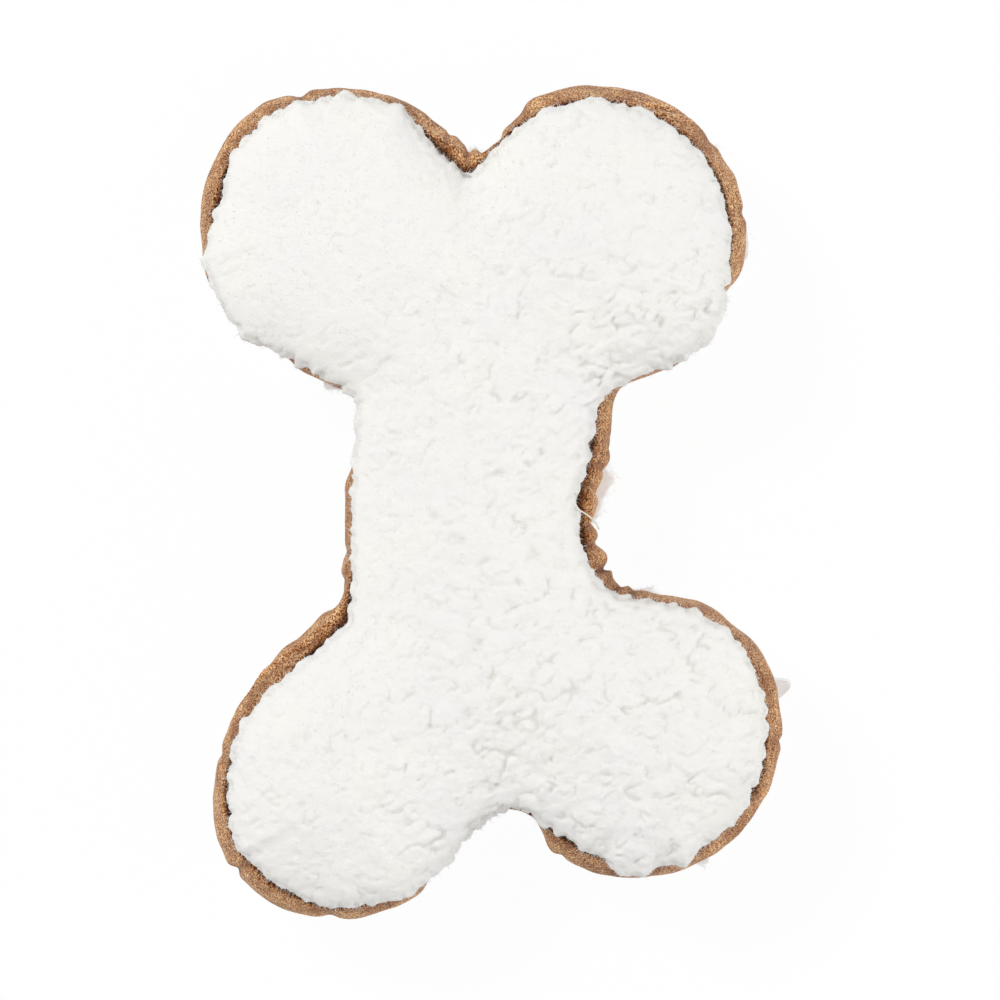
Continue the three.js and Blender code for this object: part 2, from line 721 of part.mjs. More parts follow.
const toy = new THREE.Group();
toy.add(
  named("front_panel", panel((each) => each.crown, frontPlace), FLEECE),
  named("back_panel", turned(panel(backCrown, backPlace)), FLEECE),
  named("gusset_strip_right", gussetStrip(UPPER_JOIN, LOWER_JOIN), SUEDE),
  named("gusset_strip_left", gussetStrip(LOWER_JOIN, UPPER_JOIN), SUEDE),
  named("front_seam_thread", frontSeamThread(), THREAD),
  named("back_seam_thread", seamRing(BACK_SEAM), THREAD),
  named("closing_seam_thread", closingThread(), THREAD),
  named("upper_join_thread", joinThread(UPPER_JOIN), THREAD),
  named("lower_join_thread", joinThread(LOWER_JOIN), THREAD),
  named("squeaker_bulb", geometryOf(squeakerBulb()), BULB_PLASTIC),
  named("squeaker_plug", geometryOf(squeakerPlug()), PLUG_PLASTIC),
  named("squeaker_reed", geometryOf(squeakerReed()), REED_FILM),
  named("squeaker_reed_clip", geometryOf(reedClip()), PLUG_PLASTIC),
);
for (const [name, solid] of Object.entries(fillingWads())) {
  toy.add(named(name, geometryOf(solid), FIBRE));
}

// The frame's origin is under the middle of the toy's box.
const middle = new THREE.Box3().setFromObject(toy).getCenter(new THREE.Vector3());
toy.children.forEach((mesh) => mesh.position.set(-middle.x, -middle.y, 0));

export default toy;
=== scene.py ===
import math

import bpy
import numpy as np
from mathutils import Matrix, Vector
from mathutils.bvhtree import BVHTree
from mathutils.geometry import delaunay_2d_cdt
from mathutils.kdtree import KDTree


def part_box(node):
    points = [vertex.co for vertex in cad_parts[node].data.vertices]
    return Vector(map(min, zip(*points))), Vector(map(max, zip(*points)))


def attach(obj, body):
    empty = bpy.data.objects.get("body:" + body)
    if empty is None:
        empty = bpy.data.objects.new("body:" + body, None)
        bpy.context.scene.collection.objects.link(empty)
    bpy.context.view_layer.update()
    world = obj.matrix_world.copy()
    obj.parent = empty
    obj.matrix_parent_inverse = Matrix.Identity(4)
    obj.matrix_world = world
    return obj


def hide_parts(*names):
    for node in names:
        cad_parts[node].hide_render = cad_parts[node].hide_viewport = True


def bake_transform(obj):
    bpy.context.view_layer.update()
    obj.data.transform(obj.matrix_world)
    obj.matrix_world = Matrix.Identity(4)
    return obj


# A squeaky dog toy: a stuffed bone of fleece with a faux-suede rim, lying on its back.
# Sizes are in millimetres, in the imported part's frame, and become metres where a mesh is made.

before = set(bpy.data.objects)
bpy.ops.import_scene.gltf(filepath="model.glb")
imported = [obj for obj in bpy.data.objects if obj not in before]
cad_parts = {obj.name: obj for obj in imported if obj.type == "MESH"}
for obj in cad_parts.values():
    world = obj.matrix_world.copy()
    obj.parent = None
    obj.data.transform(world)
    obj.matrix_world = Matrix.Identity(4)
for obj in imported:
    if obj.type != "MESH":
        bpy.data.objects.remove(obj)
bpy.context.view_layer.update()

MM = 0.001
TINY = 1e-9
SEED = 20

# The seam outline, as in the part: lobes as x, y, radius and the radius of the limb's root
LOBES = {
    "upper_right": (31.5, 79, 40, 34),
    "lower_right": (43.5, -69.5, 38.5, 21),
    "lower_left": (-45.5, -87, 34, 35.5),
    "upper_left": (-45, 81, 38, 37),
}
UPPER_FORK = np.array((-0.5, 55.0))
LOWER_FORK = np.array((-8.0, -44.5))
SHAFT_RADIUS = 34.5
UPPER_NOTCH_BLEND = 5
LOWER_NOTCH_BLEND = 18
CORNER_BLEND = 5
SLOPE_STEP = 0.2
BULB_PLACE = np.array((-3.5, 9.0))
NECK_LENGTH = 6

# Heights and bulges, as in the part
BACK_SEAM = 14
FRONT_SEAM = 50
MIDDLE = (BACK_SEAM + FRONT_SEAM) / 2
LOBE_CROWN = 16
SHAFT_CROWN = 13.5
BACK_CROWN = 14.5
LOBE_BULGE = 5
CORNER_BULGE = 3.5
NOTCH_BULGE = 2.5
SHAFT_BULGE = 5
# The power that a bulge falls off with: 2 is a round wall, and more is a fuller one
WALL_FULLNESS = 2.6

# Where the gusset's two strips are joined: a lobe, and a direction from its centre in degrees
JOINS = (("upper_left", 107), ("lower_left", 267))

# Steps of the simulated bag, and how many fine steps each gets
NECK_STEPS = 11
LOBE_STEPS = 46
SHAFT_STEPS = 23
FINE = 4
BAG_DOME_ROWS = 12
BAG_WALL_ROWS = 13

# The camera: straight above, with the photograph's middle over this place
VIEW_CENTRE = np.array((2.7, 0.0))
VIEW_WIDTH = 300
VIEW_PIXELS = 1000
CAMERA_HEIGHT = 1500
SENSOR = 36


def seen_at(pixel, z):
    """The place at a height that the camera shows at a pixel of the photograph."""
    across = VIEW_WIDTH / VIEW_PIXELS * (CAMERA_HEIGHT - z) / (CAMERA_HEIGHT - MIDDLE)
    half = VIEW_PIXELS / 2
    return VIEW_CENTRE + across * np.array((pixel[0] - half, half - pixel[1]))


def unit(vectors):
    return vectors / np.maximum(np.linalg.norm(vectors, axis=-1, keepdims=True), TINY)


# Noise


class Noise:
    """Smooth noise in space, the same in each run."""

    def __init__(self, seed):
        random = np.random.default_rng(seed)
        self.table = random.permutation(256)
        self.directions = unit(random.normal(size=(256, 3)))

    def smooth(self, points, size):
        """Gradient noise, about -0.7 to 0.7, with features of a size."""
        scaled = points / size
        cell = np.floor(scaled).astype(int)
        part = scaled - cell
        fade = part**3 * (part * (part * 6 - 15) + 10)
        total = np.zeros(len(points))
        for corner in np.ndindex(2, 2, 2):
            offset = np.array(corner)
            x, y, z = (cell + offset).T & 255
            slope = self.directions[self.table[(self.table[(self.table[x] + y) & 255] + z) & 255]]
            weight = np.prod(np.where(offset, fade, 1 - fade), axis=1)
            total += weight * np.sum(slope * (part - offset), axis=1)
        return total

    def layers(self, points, layers):
        """Noise in layers, each with its size, the shift of its points and its weight."""
        return sum(weight * self.smooth(points + shift, size) for size, shift, weight in layers)

    def warped(self, points, size, by):
        """The points, pushed about by noise."""
        pushes = [self.smooth(points + shift, size) for shift in (0.0, 71.3, 137.9)]
        return points + by * np.stack(pushes, axis=1)


noise = Noise(SEED)


def eased(low, high, value):
    """0 at low, 1 at high, and smooth between."""
    share = np.clip((value - low) / (high - low), 0, 1)
    return share * share * (3 - 2 * share)


def bell(value, width):
    """1 at nothing, falling away on both sides."""
    return np.exp(-((value / width) ** 2))


# Outline


def limb_distance(points, start, start_radius, end, end_radius):
    axis = end - start
    length = np.hypot(*axis)
    axis = axis / length
    offset = points - start
    along = offset @ axis
    across = np.abs(offset[..., 0] * axis[1] - offset[..., 1] * axis[0])
    sine = (start_radius - end_radius) / length
    cosine = math.sqrt(1 - sine * sine)
    run = along * cosine - across * sine
    side = across * cosine + along * sine - start_radius
    before = np.hypot(across, along) - start_radius
    after = np.hypot(across, along - length) - end_radius
    return np.where(run < 0, before, np.where(run > cosine * length, after, side))


def smooth_least(a, b, blend):
    overlap = np.maximum(blend - np.abs(a - b), 0) / blend
    return np.minimum(a, b) - overlap * overlap * blend / 4


def lobe_centre(name):
    return np.array(LOBES[name][:2], float)


def outline_distance(points):
    """Distance of points outside the seam outline, negative inside it."""

    def limb(name):
        x, y, radius, root_radius = LOBES[name]
        fork = UPPER_FORK if y > 0 else LOWER_FORK
        return limb_distance(points, np.array((x, y)), radius, fork, root_radius)

    upper = smooth_least(limb("upper_left"), limb("upper_right"), UPPER_NOTCH_BLEND)
    lower = smooth_least(limb("lower_left"), limb("lower_right"), LOWER_NOTCH_BLEND)
    shaft = limb_distance(points, UPPER_FORK, SHAFT_RADIUS, LOWER_FORK, SHAFT_RADIUS)
    return smooth_least(shaft, np.minimum(upper, lower), CORNER_BLEND)


def outline_slope(points):
    """The direction straight away from the outline at each point."""
    return unit(np.stack([outline_distance(points + push) - outline_distance(points - push)
                          for push in SLOPE_STEP * np.eye(2)], axis=-1))


def angle_to(start, end):
    return math.atan2(end[1] - start[1], end[0] - start[0])


def near_to(angle, other):
    return angle - 2 * math.pi * round((angle - other) / (2 * math.pi))


def fork_ray(fork, place, other, bulge=CORNER_BULGE):
    """The ray from a fork halfway between two places."""
    first = angle_to(fork, place)
    return (*fork, (first + near_to(angle_to(fork, other), first)) / 2, SHAFT_CROWN, bulge)


class Round:
    """Rays from the spine to the edge, clockwise from the top notch."""

    # An edge is found along a ray by strides, and then by halvings of the last stride.
    STRIDE = 2.0
    STRIDES = 60
    HALVINGS = 16

    def __init__(self, fine):
        self.rays = []
        self.fine = fine
        upper_right, lower_right, lower_left, upper_left = (lobe_centre(name) for name in LOBES)
        top = fork_ray(UPPER_FORK, upper_left, upper_right, NOTCH_BULGE)
        bottom = fork_ray(LOWER_FORK, lower_right, lower_left, NOTCH_BULGE)
        right = fork_ray(UPPER_FORK, upper_right, LOWER_FORK), fork_ray(LOWER_FORK, lower_right, UPPER_FORK)
        left = fork_ray(LOWER_FORK, lower_left, UPPER_FORK), fork_ray(UPPER_FORK, upper_left, LOWER_FORK)
        self.lobe(upper_right, top, right[0])
        self.right_side = len(self.rays)
        self.side(*right, SHAFT_STEPS, SHAFT_BULGE)
        self.lobe(lower_right, right[1], bottom)
        self.lobe(lower_left, bottom, left[0])
        self.side(*left, SHAFT_STEPS, SHAFT_BULGE)
        self.lobe(upper_left, left[1], top)
        rays = np.array(self.rays)
        self.origin = rays[:, :2]
        self.direction = np.stack((np.cos(rays[:, 2]), np.sin(rays[:, 2])), axis=1)
        self.crown = rays[:, 3]
        self.bulge = rays[:, 4]
        self.count = len(rays)
        self.seam = self.reach(0)
        steps = np.linalg.norm(np.roll(self.seam, -1, axis=0) - self.seam, axis=1)
        self.length = steps.sum()
        self.run = np.append(0, np.cumsum(steps)[:-1])

    def side(self, start, end, steps, middle_bulge=None):
        """Rays from one to just before another."""
        start, end = np.array(start), np.array(end)
        end[2] = near_to(end[2], start[2])
        share = np.linspace(0, 1, steps * self.fine, endpoint=False)[:, None]
        rays = start + (end - start) * share
        rays[:, 3:] = start[3:] + (end - start)[3:] * eased(0, 1, share)
        if middle_bulge is not None:
            rays[:, 4] += (middle_bulge - rays[:, 4]) * np.sin(math.pi * share[:, 0])
        self.rays.extend(rays)

    def lobe(self, centre, start, end):
        """Rays out of the neck, half round a lobe and back into the neck."""
        outwards = angle_to(start[:2], centre)

        def turned(angle):
            return np.array((*centre, outwards + angle, LOBE_CROWN, LOBE_BULGE))

        self.side(start, turned(math.pi / 2), NECK_STEPS)
        steps = LOBE_STEPS * self.fine
        self.rays += [turned(math.pi * (0.5 - i / steps)) for i in range(steps)]
        self.side(turned(-math.pi / 2), end, NECK_STEPS)

    def reach(self, outside):
        """Where each ray is a distance outside the seam outline."""

        def is_short(far):
            return outline_distance(self.origin + self.direction * far[:, None]) < outside

        far = np.full(self.count, self.STRIDE)
        for _ in range(self.STRIDES):
            short = is_short(far)
            if not short.any():
                break
            far[short] += self.STRIDE
        near = far - self.STRIDE
        for _ in range(self.HALVINGS):
            half = (near + far) / 2
            short = is_short(half)
            near = np.where(short, half, near)
            far = np.where(short, far, half)
        return self.origin + self.direction * near[:, None]

    def row(self, outside, z, share=0):
        """Points at a share of the way from a distance outside the seam to the spine."""
        edge = self.reach(outside)
        place = edge + (self.origin - edge) * share
        return np.column_stack((place, np.broadcast_to(z, self.count)))

    def nearest(self, place):
        """The ray whose seam is nearest to a place."""
        return int(np.argmin(np.linalg.norm(self.seam - np.array(place), axis=1)))

    def away_from(self, ray):
        """How far along the seam each ray is past a ray, negative before it."""
        away = self.run - self.run[ray]
        return away - self.length * np.round(away / self.length)

    def away_from_pixel(self, pixel):
        return self.away_from(self.nearest(seen_at(pixel, MIDDLE)))[None, :]

    def around(self, places):
        """How far outside the seam some places are, and every ray between them."""
        places = np.array(places)
        runs = np.array([self.run[self.nearest(place)] for place in places])
        order = np.argsort(runs)
        return np.interp(self.run, runs[order], outline_distance(places)[order], period=self.length)


def dome(share):
    return np.sqrt(np.maximum(1 - (1 - share) ** 2, 0))


def wall_outside(bulge, z):
    share = np.abs(z - MIDDLE) / (FRONT_SEAM - MIDDLE)
    return bulge * (1 - share**WALL_FULLNESS)


coarse = Round(1)
fine = Round(FINE)

# The part is centred on its box: the squeaker's place in it gives the shift.
bulb_low, bulb_high = (np.array(corner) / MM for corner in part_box("squeaker_bulb"))
SHIFT = np.array(((bulb_low[0] + bulb_high[0]) / 2 - BULB_PLACE[0],
                  (bulb_low[1] + NECK_LENGTH + bulb_high[1]) / 2 - BULB_PLACE[1], 0.0))


def join_ray(join):
    name, degrees = join
    angle = math.radians(degrees)
    return fine.nearest(lobe_centre(name) + LOBES[name][2] * np.array((math.cos(angle), math.sin(angle))))


JOIN_RAYS = [join_ray(join) for join in JOINS]

# Meshes

MERGE = 0.002


def merged(points):
    """Which points are left when those in one place are merged, and what each becomes."""
    keys = np.round(points / MERGE).astype(np.int64)
    _, first, index = np.unique(keys, axis=0, return_index=True, return_inverse=True)
    return first, index.reshape(-1)


def new_piece(name, data):
    piece = bpy.data.objects.new(name, data)
    bpy.context.scene.collection.objects.link(piece)
    return piece


def clad(piece, material):
    piece.data.materials.clear()
    piece.data.materials.append(material)


def make_mesh(name, points, faces, material):
    """A mesh without flat faces, and which of the points it has."""
    first, index = merged(points)
    whole = []
    for face in (face for group in faces for face in index[group].tolist()):
        corners = [corner for i, corner in enumerate(face) if corner != face[i - 1]]
        if len(corners) >= 3 and len(set(corners)) == len(corners):
            whole.append(corners)
    mesh = bpy.data.meshes.new(name)
    mesh.from_pydata((points[first] + SHIFT) * MM, [], whole, shade_flat=False)
    mesh.validate()
    mesh.materials.append(material)
    return new_piece(name, mesh), first


def vertex_values(mesh, name):
    """The place or the normal of each vertex of a mesh."""
    values = np.empty(len(mesh.vertices) * 3, np.float32)
    mesh.vertices.foreach_get(name, values)
    return values.reshape(-1, 3)


def keep_shade(piece, name, values):
    """Keeps a number for each vertex of a piece, for its material to read."""
    shade = piece.data.attributes.new(name, "FLOAT", "POINT")
    shade.data.foreach_set("value", values.astype(np.float32))


def grid_faces(rows, columns, closes=True):
    """Quads between the points of rows, round or along their columns."""
    across = np.arange(columns if closes else columns - 1)
    row, column = np.meshgrid(np.arange(rows - 1), across, indexing="ij")
    after = (column + 1) % columns
    here = row * columns
    quads = (here + column, here + after, here + columns + after, here + columns + column)
    return np.stack([quad.ravel() for quad in quads], axis=1)


def headings(points, axis, closes):
    """The way along lines of points, at each point."""
    if closes:
        return np.roll(points, -1, axis=axis) - np.roll(points, 1, axis=axis)
    return np.gradient(points, axis=axis)


def grid_normals(grid, closes=True):
    """Outward directions of a grid of rows along the outline."""
    return unit(np.cross(headings(grid, 1, closes), np.gradient(grid, axis=0)))


def between(rows, places, ends):
    """Rows at places between those of a grid, which wraps or clips at its ends."""
    base = places.astype(int)
    share = (places - base)[:, None, None]
    a, b, c, d = (np.take(rows, base + step, axis=0, mode=ends) for step in (-1, 0, 1, 2))
    return b + 0.5 * share * (c - a + share * (2 * a - 5 * b + 4 * c - d + share * (3 * (b - c) + d - a)))


def finer(grid, rows):
    """A coarse grid, smoothly made as fine as the fine round, with this many rows."""
    wide = between(grid.swapaxes(0, 1), np.arange(fine.count) / FINE, "wrap").swapaxes(0, 1)
    return between(wide, np.linspace(0, len(grid) - 1, rows), "clip")


def circles(side, up, count):
    """Directions to this many points round each circle, from two of its spokes."""
    turns = 2 * math.pi * np.arange(count)[:, None] / count
    return np.cos(turns) * side[:, None] + np.sin(turns) * up[:, None]


def flat_tree(places):
    """A search tree of places, without their heights."""
    tree = KDTree(len(places))
    for i, place in enumerate(places.tolist()):
        tree.insert((place[0], place[1], 0), i)
    tree.balance()
    return tree


# The stuffed bag, swollen by cloth simulation

BAG_SHRINK = 2.0
BAG_CAP = 3.0
BAG_FRAMES = 24
BAG_CLOTH = {
    "quality": 6, "mass": 0.02, "tension_stiffness": 12, "compression_stiffness": 12, "shear_stiffness": 6,
    "bending_stiffness": 0.2, "air_damping": 2, "vertex_group_mass": "held", "use_pressure": True,
    "uniform_pressure_force": 4, "vertex_group_shrink": "loose", "shrink_min": 0.0, "shrink_max": -0.07,
}


def bag_rows(rays):
    """The bag's rows before it swells, from the front's crown to the back's."""
    shares = np.linspace(1, 0, BAG_DOME_ROWS, endpoint=False)
    front, back = rays.crown - BAG_SHRINK, BACK_CROWN - BAG_SHRINK
    rows = [rays.row(0, FRONT_SEAM + front * dome(share), share) for share in shares]
    for z in np.linspace(FRONT_SEAM, BACK_SEAM, BAG_WALL_ROWS):
        rows.append(rays.row(wall_outside(rays.bulge, z), z))
    rows += [rays.row(0, BACK_SEAM - back * dome(share), share) for share in shares[::-1]]
    return np.array(rows)


def swell_bag():
    """How far stuffing moves each point of the bag, with its seams held."""
    rows = bag_rows(coarse)
    points = rows.reshape(-1, 3)
    bag, first = make_mesh("bag", points, [grid_faces(len(rows), coarse.count)], None)
    on_seam = np.isin(first // coarse.count, (BAG_DOME_ROWS, BAG_DOME_ROWS + BAG_WALL_ROWS - 1))
    bag.vertex_groups.new(name="held").add(np.flatnonzero(on_seam).tolist(), 1.0, "REPLACE")
    bag.vertex_groups.new(name="loose").add(range(len(first)), 1.0, "REPLACE")
    cloth = bag.modifiers.new("swell", "CLOTH")
    for name, value in BAG_CLOTH.items():
        setattr(cloth.settings, name, value)
    cloth.settings.effector_weights.gravity = 0
    cloth.collision_settings.use_collision = False
    scene = bpy.context.scene
    for number in range(1, BAG_FRAMES + 1):
        scene.frame_set(number)
    ready = bag.evaluated_get(bpy.context.evaluated_depsgraph_get())
    moved = vertex_values(ready.data, "co") / MM - SHIFT - points[first]
    reach = np.linalg.norm(moved, axis=1, keepdims=True)
    moved *= BAG_CAP * np.tanh(reach / BAG_CAP) / np.maximum(reach, TINY)
    scene.frame_set(1)
    bpy.data.objects.remove(bag)
    return moved[merged(points)[1]].reshape(rows.shape)


swell = swell_bag()
front_swell = swell[: BAG_DOME_ROWS + 1]
wall_swell = swell[BAG_DOME_ROWS : BAG_DOME_ROWS + BAG_WALL_ROWS]
back_swell = swell[BAG_DOME_ROWS + BAG_WALL_ROWS - 1 :][::-1]


# Materials


class Nodes:
    """The shader nodes of a material or of the world."""

    def __init__(self, owner):
        self.owner = owner
        owner.use_nodes = True
        self.tree = owner.node_tree

    def set(self, node, sockets):
        """Gives a node's sockets their values, or links them to outputs."""
        for name, value in sockets.items():
            if isinstance(value, bpy.types.NodeSocket):
                self.tree.links.new(value, node.inputs[name])
            else:
                node.inputs[name].default_value = value

    def add(self, kind, sockets, output=0, **settings):
        """Adds a node and gives one of its outputs."""
        node = self.tree.nodes.new("ShaderNode" + kind)
        for name, value in settings.items():
            setattr(node, name, value)
        self.set(node, sockets)
        return node.outputs[output]

    def noise(self, scale, detail, roughness=0.6):
        place = self.add("TexCoord", {}, "Object")
        sockets = {"Vector": place, "Scale": scale, "Detail": detail, "Roughness": roughness}
        return self.add("TexNoise", sockets, "Fac")

    def shade(self, name):
        """A number that the mesh keeps for each vertex."""
        return self.add("Attribute", {}, "Fac", attribute_name=name)

    def ramp(self, value, *stops):
        colour = self.add("ValToRGB", {"Fac": value}, "Color")
        elements = colour.node.color_ramp.elements
        while len(elements) < len(stops):
            elements.new(0.5)
        for element, (position, tone) in zip(elements, stops):
            element.position = position
            element.color = (*tone, 1)
        return colour

    def product(self, first, second):
        sockets = {"Factor": 1.0, 6: first, 7: second}
        return self.add("Mix", sockets, 2, data_type="RGBA", blend_type="MULTIPLY")

    def bump(self, height, strength, distance):
        return self.add("Bump", {"Height": height, "Strength": strength, "Distance": distance})

    def mixed(self, share, first, second):
        return self.add("MixShader", {0: share, 1: first, 2: second})

    def surface(self, sockets):
        """Gives the shader its values, and gives the material."""
        self.set(self.tree.nodes["Principled BSDF"], sockets)
        return self.owner


def fleece(name, glow):
    """Matted white pile, with painted shade in its creases. The glow is painted light that lightens pile
    lying in shade.
    """
    nodes = Nodes(bpy.data.materials.new(name))
    # Painted shade: the pile's colour darkens where the mesh keeps a deep crease.
    tone = nodes.ramp(nodes.shade("crease"), (0.0, (0.9, 0.89, 0.86)), (0.45, (0.885, 0.875, 0.84)),
                      (1.0, (0.74, 0.72, 0.67)))
    tint = nodes.ramp(nodes.noise(45, 3), (0.35, (0.985, 0.985, 1.0)), (0.65, (1.0, 0.998, 0.985)))
    return nodes.surface({
        "Base Color": nodes.product(tone, tint), "Roughness": 1.0, "Specular IOR Level": 0.1,
        # A bluish painted glow, as strong as the glow given, stands in for light reaching the pile in
        # shade.
        "Sheen Weight": 0.1, "Sheen Roughness": 0.6, "Emission Color": (0.78, 0.9, 1.0, 1),
        "Emission Strength": glow, "Normal": nodes.bump(nodes.noise(1900, 3, 0.7), 0.45, 0.0009),
    })


def suede(name):
    """Tan suede: a grain of dark and light specks, with brushed patches, and painted shade where the mesh
    keeps its sunk number.
    """
    nodes = Nodes(bpy.data.materials.new(name))
    grain = nodes.noise(1850, 2, 0.75)
    specks = nodes.ramp(grain, (0.38, (0.06, 0.019, 0.007)), (0.45, (0.4, 0.165, 0.058)),
                        (0.54, (0.86, 0.395, 0.154)), (0.6, (1.0, 0.82, 0.48)))
    patches = nodes.ramp(nodes.noise(130, 4), (0.38, (0.62, 0.5, 0.43)), (0.6, (1.0, 1.0, 1.0)))
    # Painted shade: darker in folds, in the join dips, in the seam and in the front pile's shadow beside
    # it.
    depth = nodes.ramp(nodes.shade("sunk"), (0.0, (1.0, 1.0, 1.0)), (1.0, (0.4, 0.3, 0.26)))
    return nodes.surface({
        "Base Color": nodes.product(nodes.product(specks, patches), depth), "Roughness": 0.95,
        "Specular IOR Level": 0.15, "Sheen Weight": 0.15, "Normal": nodes.bump(grain, 0.6, 0.0006),
    })


def plain(name, low, high, scale, roughness, bump=0.0003):
    """A finish whose colour wanders between two tones."""
    nodes = Nodes(bpy.data.materials.new(name))
    wander = nodes.noise(scale, 4)
    colour = nodes.ramp(wander, (0.3, low), (0.7, high))
    normal = nodes.bump(wander, 0.3, bump)
    return nodes.surface({"Base Color": colour, "Roughness": roughness, "Normal": normal})


FLEECE = fleece("sherpa_fleece", 0.0)
# The back pile's copy glows: painted light that lightens its tufts in the shade under the rim.
GLOWING_BACK_FLEECE = fleece("fleece_with_painted_glow", 0.28)
SUEDE = suede("faux_suede")
THREAD = plain("sewing_thread", (0.72, 0.68, 0.6), (0.88, 0.85, 0.78), 1500, 0.8)
FIBRE = plain("polyester_fibre", (0.82, 0.82, 0.8), (0.9, 0.9, 0.88), 300, 0.9, 0.001)
BULB = plain("milky_plastic", (0.82, 0.81, 0.76), (0.89, 0.88, 0.83), 120, 0.45)
PLUG = plain("hard_plastic", (0.7, 0.73, 0.75), (0.77, 0.8, 0.82), 200, 0.3)
REED = plain("reed_film", (0.52, 0.58, 0.61), (0.62, 0.68, 0.71), 300, 0.2)

# Fleece

# Pixels of the photograph where the front pile ends, clockwise from the top notch
FRONT_PILE_EDGE = [
    (456, 168), (490, 150), (603, 97), (643, 111), (731, 245), (726, 290), (726, 314), (698, 351),
    (616, 392), (597, 412), (591, 458), (584, 474), (578, 500), (584, 541), (597, 571), (691, 608),
    (729, 628), (766, 704), (702, 848), (686, 866), (660, 869), (643, 880), (618, 880), (602, 863),
    (564, 842), (515, 814), (482, 829), (450, 862), (404, 903), (364, 908), (250, 862), (234, 853),
    (229, 832), (225, 778), (238, 724), (260, 693), (341, 626), (346, 600), (347, 570), (347, 512),
    (353, 425), (337, 388), (284, 358), (242, 340), (200, 259), (205, 237), (217, 196), (227, 156),
    (286, 105), (297, 96), (307, 98), (376, 98), (402, 101), (427, 135),
]
# Pixels where a tuft of the back pile shows past the rim, and half its width
BACK_TUFTS = [
    ((612, 484), 8), ((598, 514), 3), ((789, 683), 3.6), ((748, 240), 9), ((475, 151), 3),
    ((640, 589), 6), ((338, 391), 5), ((719, 150), 3.5), ((706, 866), 3),
]
# The share of the gusset's bulge that the back pile reaches where it has no tuft
BACK_SHARE = 0.5
# How far the back pile stands over its crown, and how far each pile's edge droops
BACK_PILE = 0.5
FRONT_DROOP = 0.5
BACK_DROOP = 0.25
# The face's points: their spacing and, as shares of it, how far they stray and their room at the ring
PILE_STEP = 0.63
PILE_JITTER = 0.4
RING_GAP = 0.6
RING_IN = 3.0
DOME_ROWS = 44
RING_ROWS = 6
# The pile's edge over the seam: its top, its widest curls and its base, and how far it is tucked under
PILE_EDGE_HEIGHT = 3.6
CURL_HEIGHT = 2.0
PILE_BASE = 0.5
PILE_TUCK = 1.7
TUCK_DROOP = 0.8
# How the edge rolls over: how far out and how high each row is, and its share of the droop
PILE_ROLL = [
    (0.5, 2.8, 0.1), (0.8, CURL_HEIGHT, 0.3), (0.8, 1.2, 0.6), (0.5, 0.75, 0.85), (0.0, PILE_BASE, 1.0),
    (-0.8, PILE_BASE, 0.95), (-PILE_TUCK, PILE_BASE, TUCK_DROOP),
]
# The roll of the pile past its last curl, which the photographed edge already counts
EDGE_PULL = 1.4
PILE_NUDGE = np.array((1.0, 0.0))
# The cloth's inside: its height at the seam, its depth under the crown and its start inside the seam
BACKING_HEIGHT = 1.4
BACKING_DEPTH = 6.8
BACKING_IN = 3.5
# Noise along the pile's edge, in layers of size, shift and weight: soft waves, and curls that stand out
EDGE_WAVES = ((11, 0, 1), (5, 31, 1), (1.5, 9, 0.8))
EDGE_CURLS = ((5.5, 47, 3.7), (3.2, 5, -1.2))
CURL_MIDDLE = 0.2
# Noise over the face, in the same way
LUMPS = ((36, 0, 1.5), (17, 11, 1))
FUZZ = ((2.3, 0, 0.175), (1.25, 23, 0.325))
# Clumps of pile: their size and shift, the size and reach of the warp that bends them, the width of the
# creases between them, and the noise that breaks those: its size, its shift, where they start and are whole
LEDGES = (6, 0, 9, 2.4, 0.075, 6, 57, 0, 0.3)
CURLS = (3, 40, 4, 1.2, 0.13, 3.6, 83, 0, 0.3)
TUFTS = (9.5, 70, 12, 3.5, 0.06, 14, 91, -0.15, 0.25)
# Clumps are longer across the bone and to the upper right than along it.
PILE_LEAN = np.array(((0.75, -0.55, 0), (0.4, 1.1, 0), (0, 0, 0.9)))


class Side:
    """The toy's front or back: its seam's height, which way is out, and how its pile lies."""

    def __init__(self, seam, out, crown, swelling, droop):
        self.seam, self.out = seam, out
        self.crown, self.swelling, self.droop = crown, swelling, droop

    def z(self, height):
        return self.seam + self.out * height


FRONT = Side(FRONT_SEAM, 1, fine.crown, front_swell, FRONT_DROOP)
BACK = Side(BACK_SEAM, -1, np.full(fine.count, BACK_CROWN + BACK_PILE), back_swell, BACK_DROOP)


def scallops(height):
    """The ragged edge of a pile at a height over its widest curls, as a push along each ray."""
    places = np.column_stack((fine.seam, np.broadcast_to(height, fine.count)))
    push = noise.layers(places, EDGE_WAVES)
    for size, shift, weight in EDGE_CURLS:
        push += weight * (np.abs(noise.smooth(places + shift, size)) - CURL_MIDDLE)
    return push


def dome_row(side, edge_place, share, lift, push=0):
    """A row of a panel's smooth face, a share of the way from edge to spine."""
    place = edge_place + (fine.origin - edge_place) * share[:, None] + push
    height = PILE_EDGE_HEIGHT + (side.crown - PILE_EDGE_HEIGHT) * dome(share)
    return np.column_stack((place, side.z(height))) + lift


def dome_grid(side, edge_place, last):
    """A panel's smooth face, from the spine to a little inside the edge."""
    rows = zip(np.linspace(0, 1, DOME_ROWS), finer(side.swelling, DOME_ROWS))
    return np.array([dome_row(side, edge_place, 1 - (1 - last) * done, lift) for done, lift in rows])


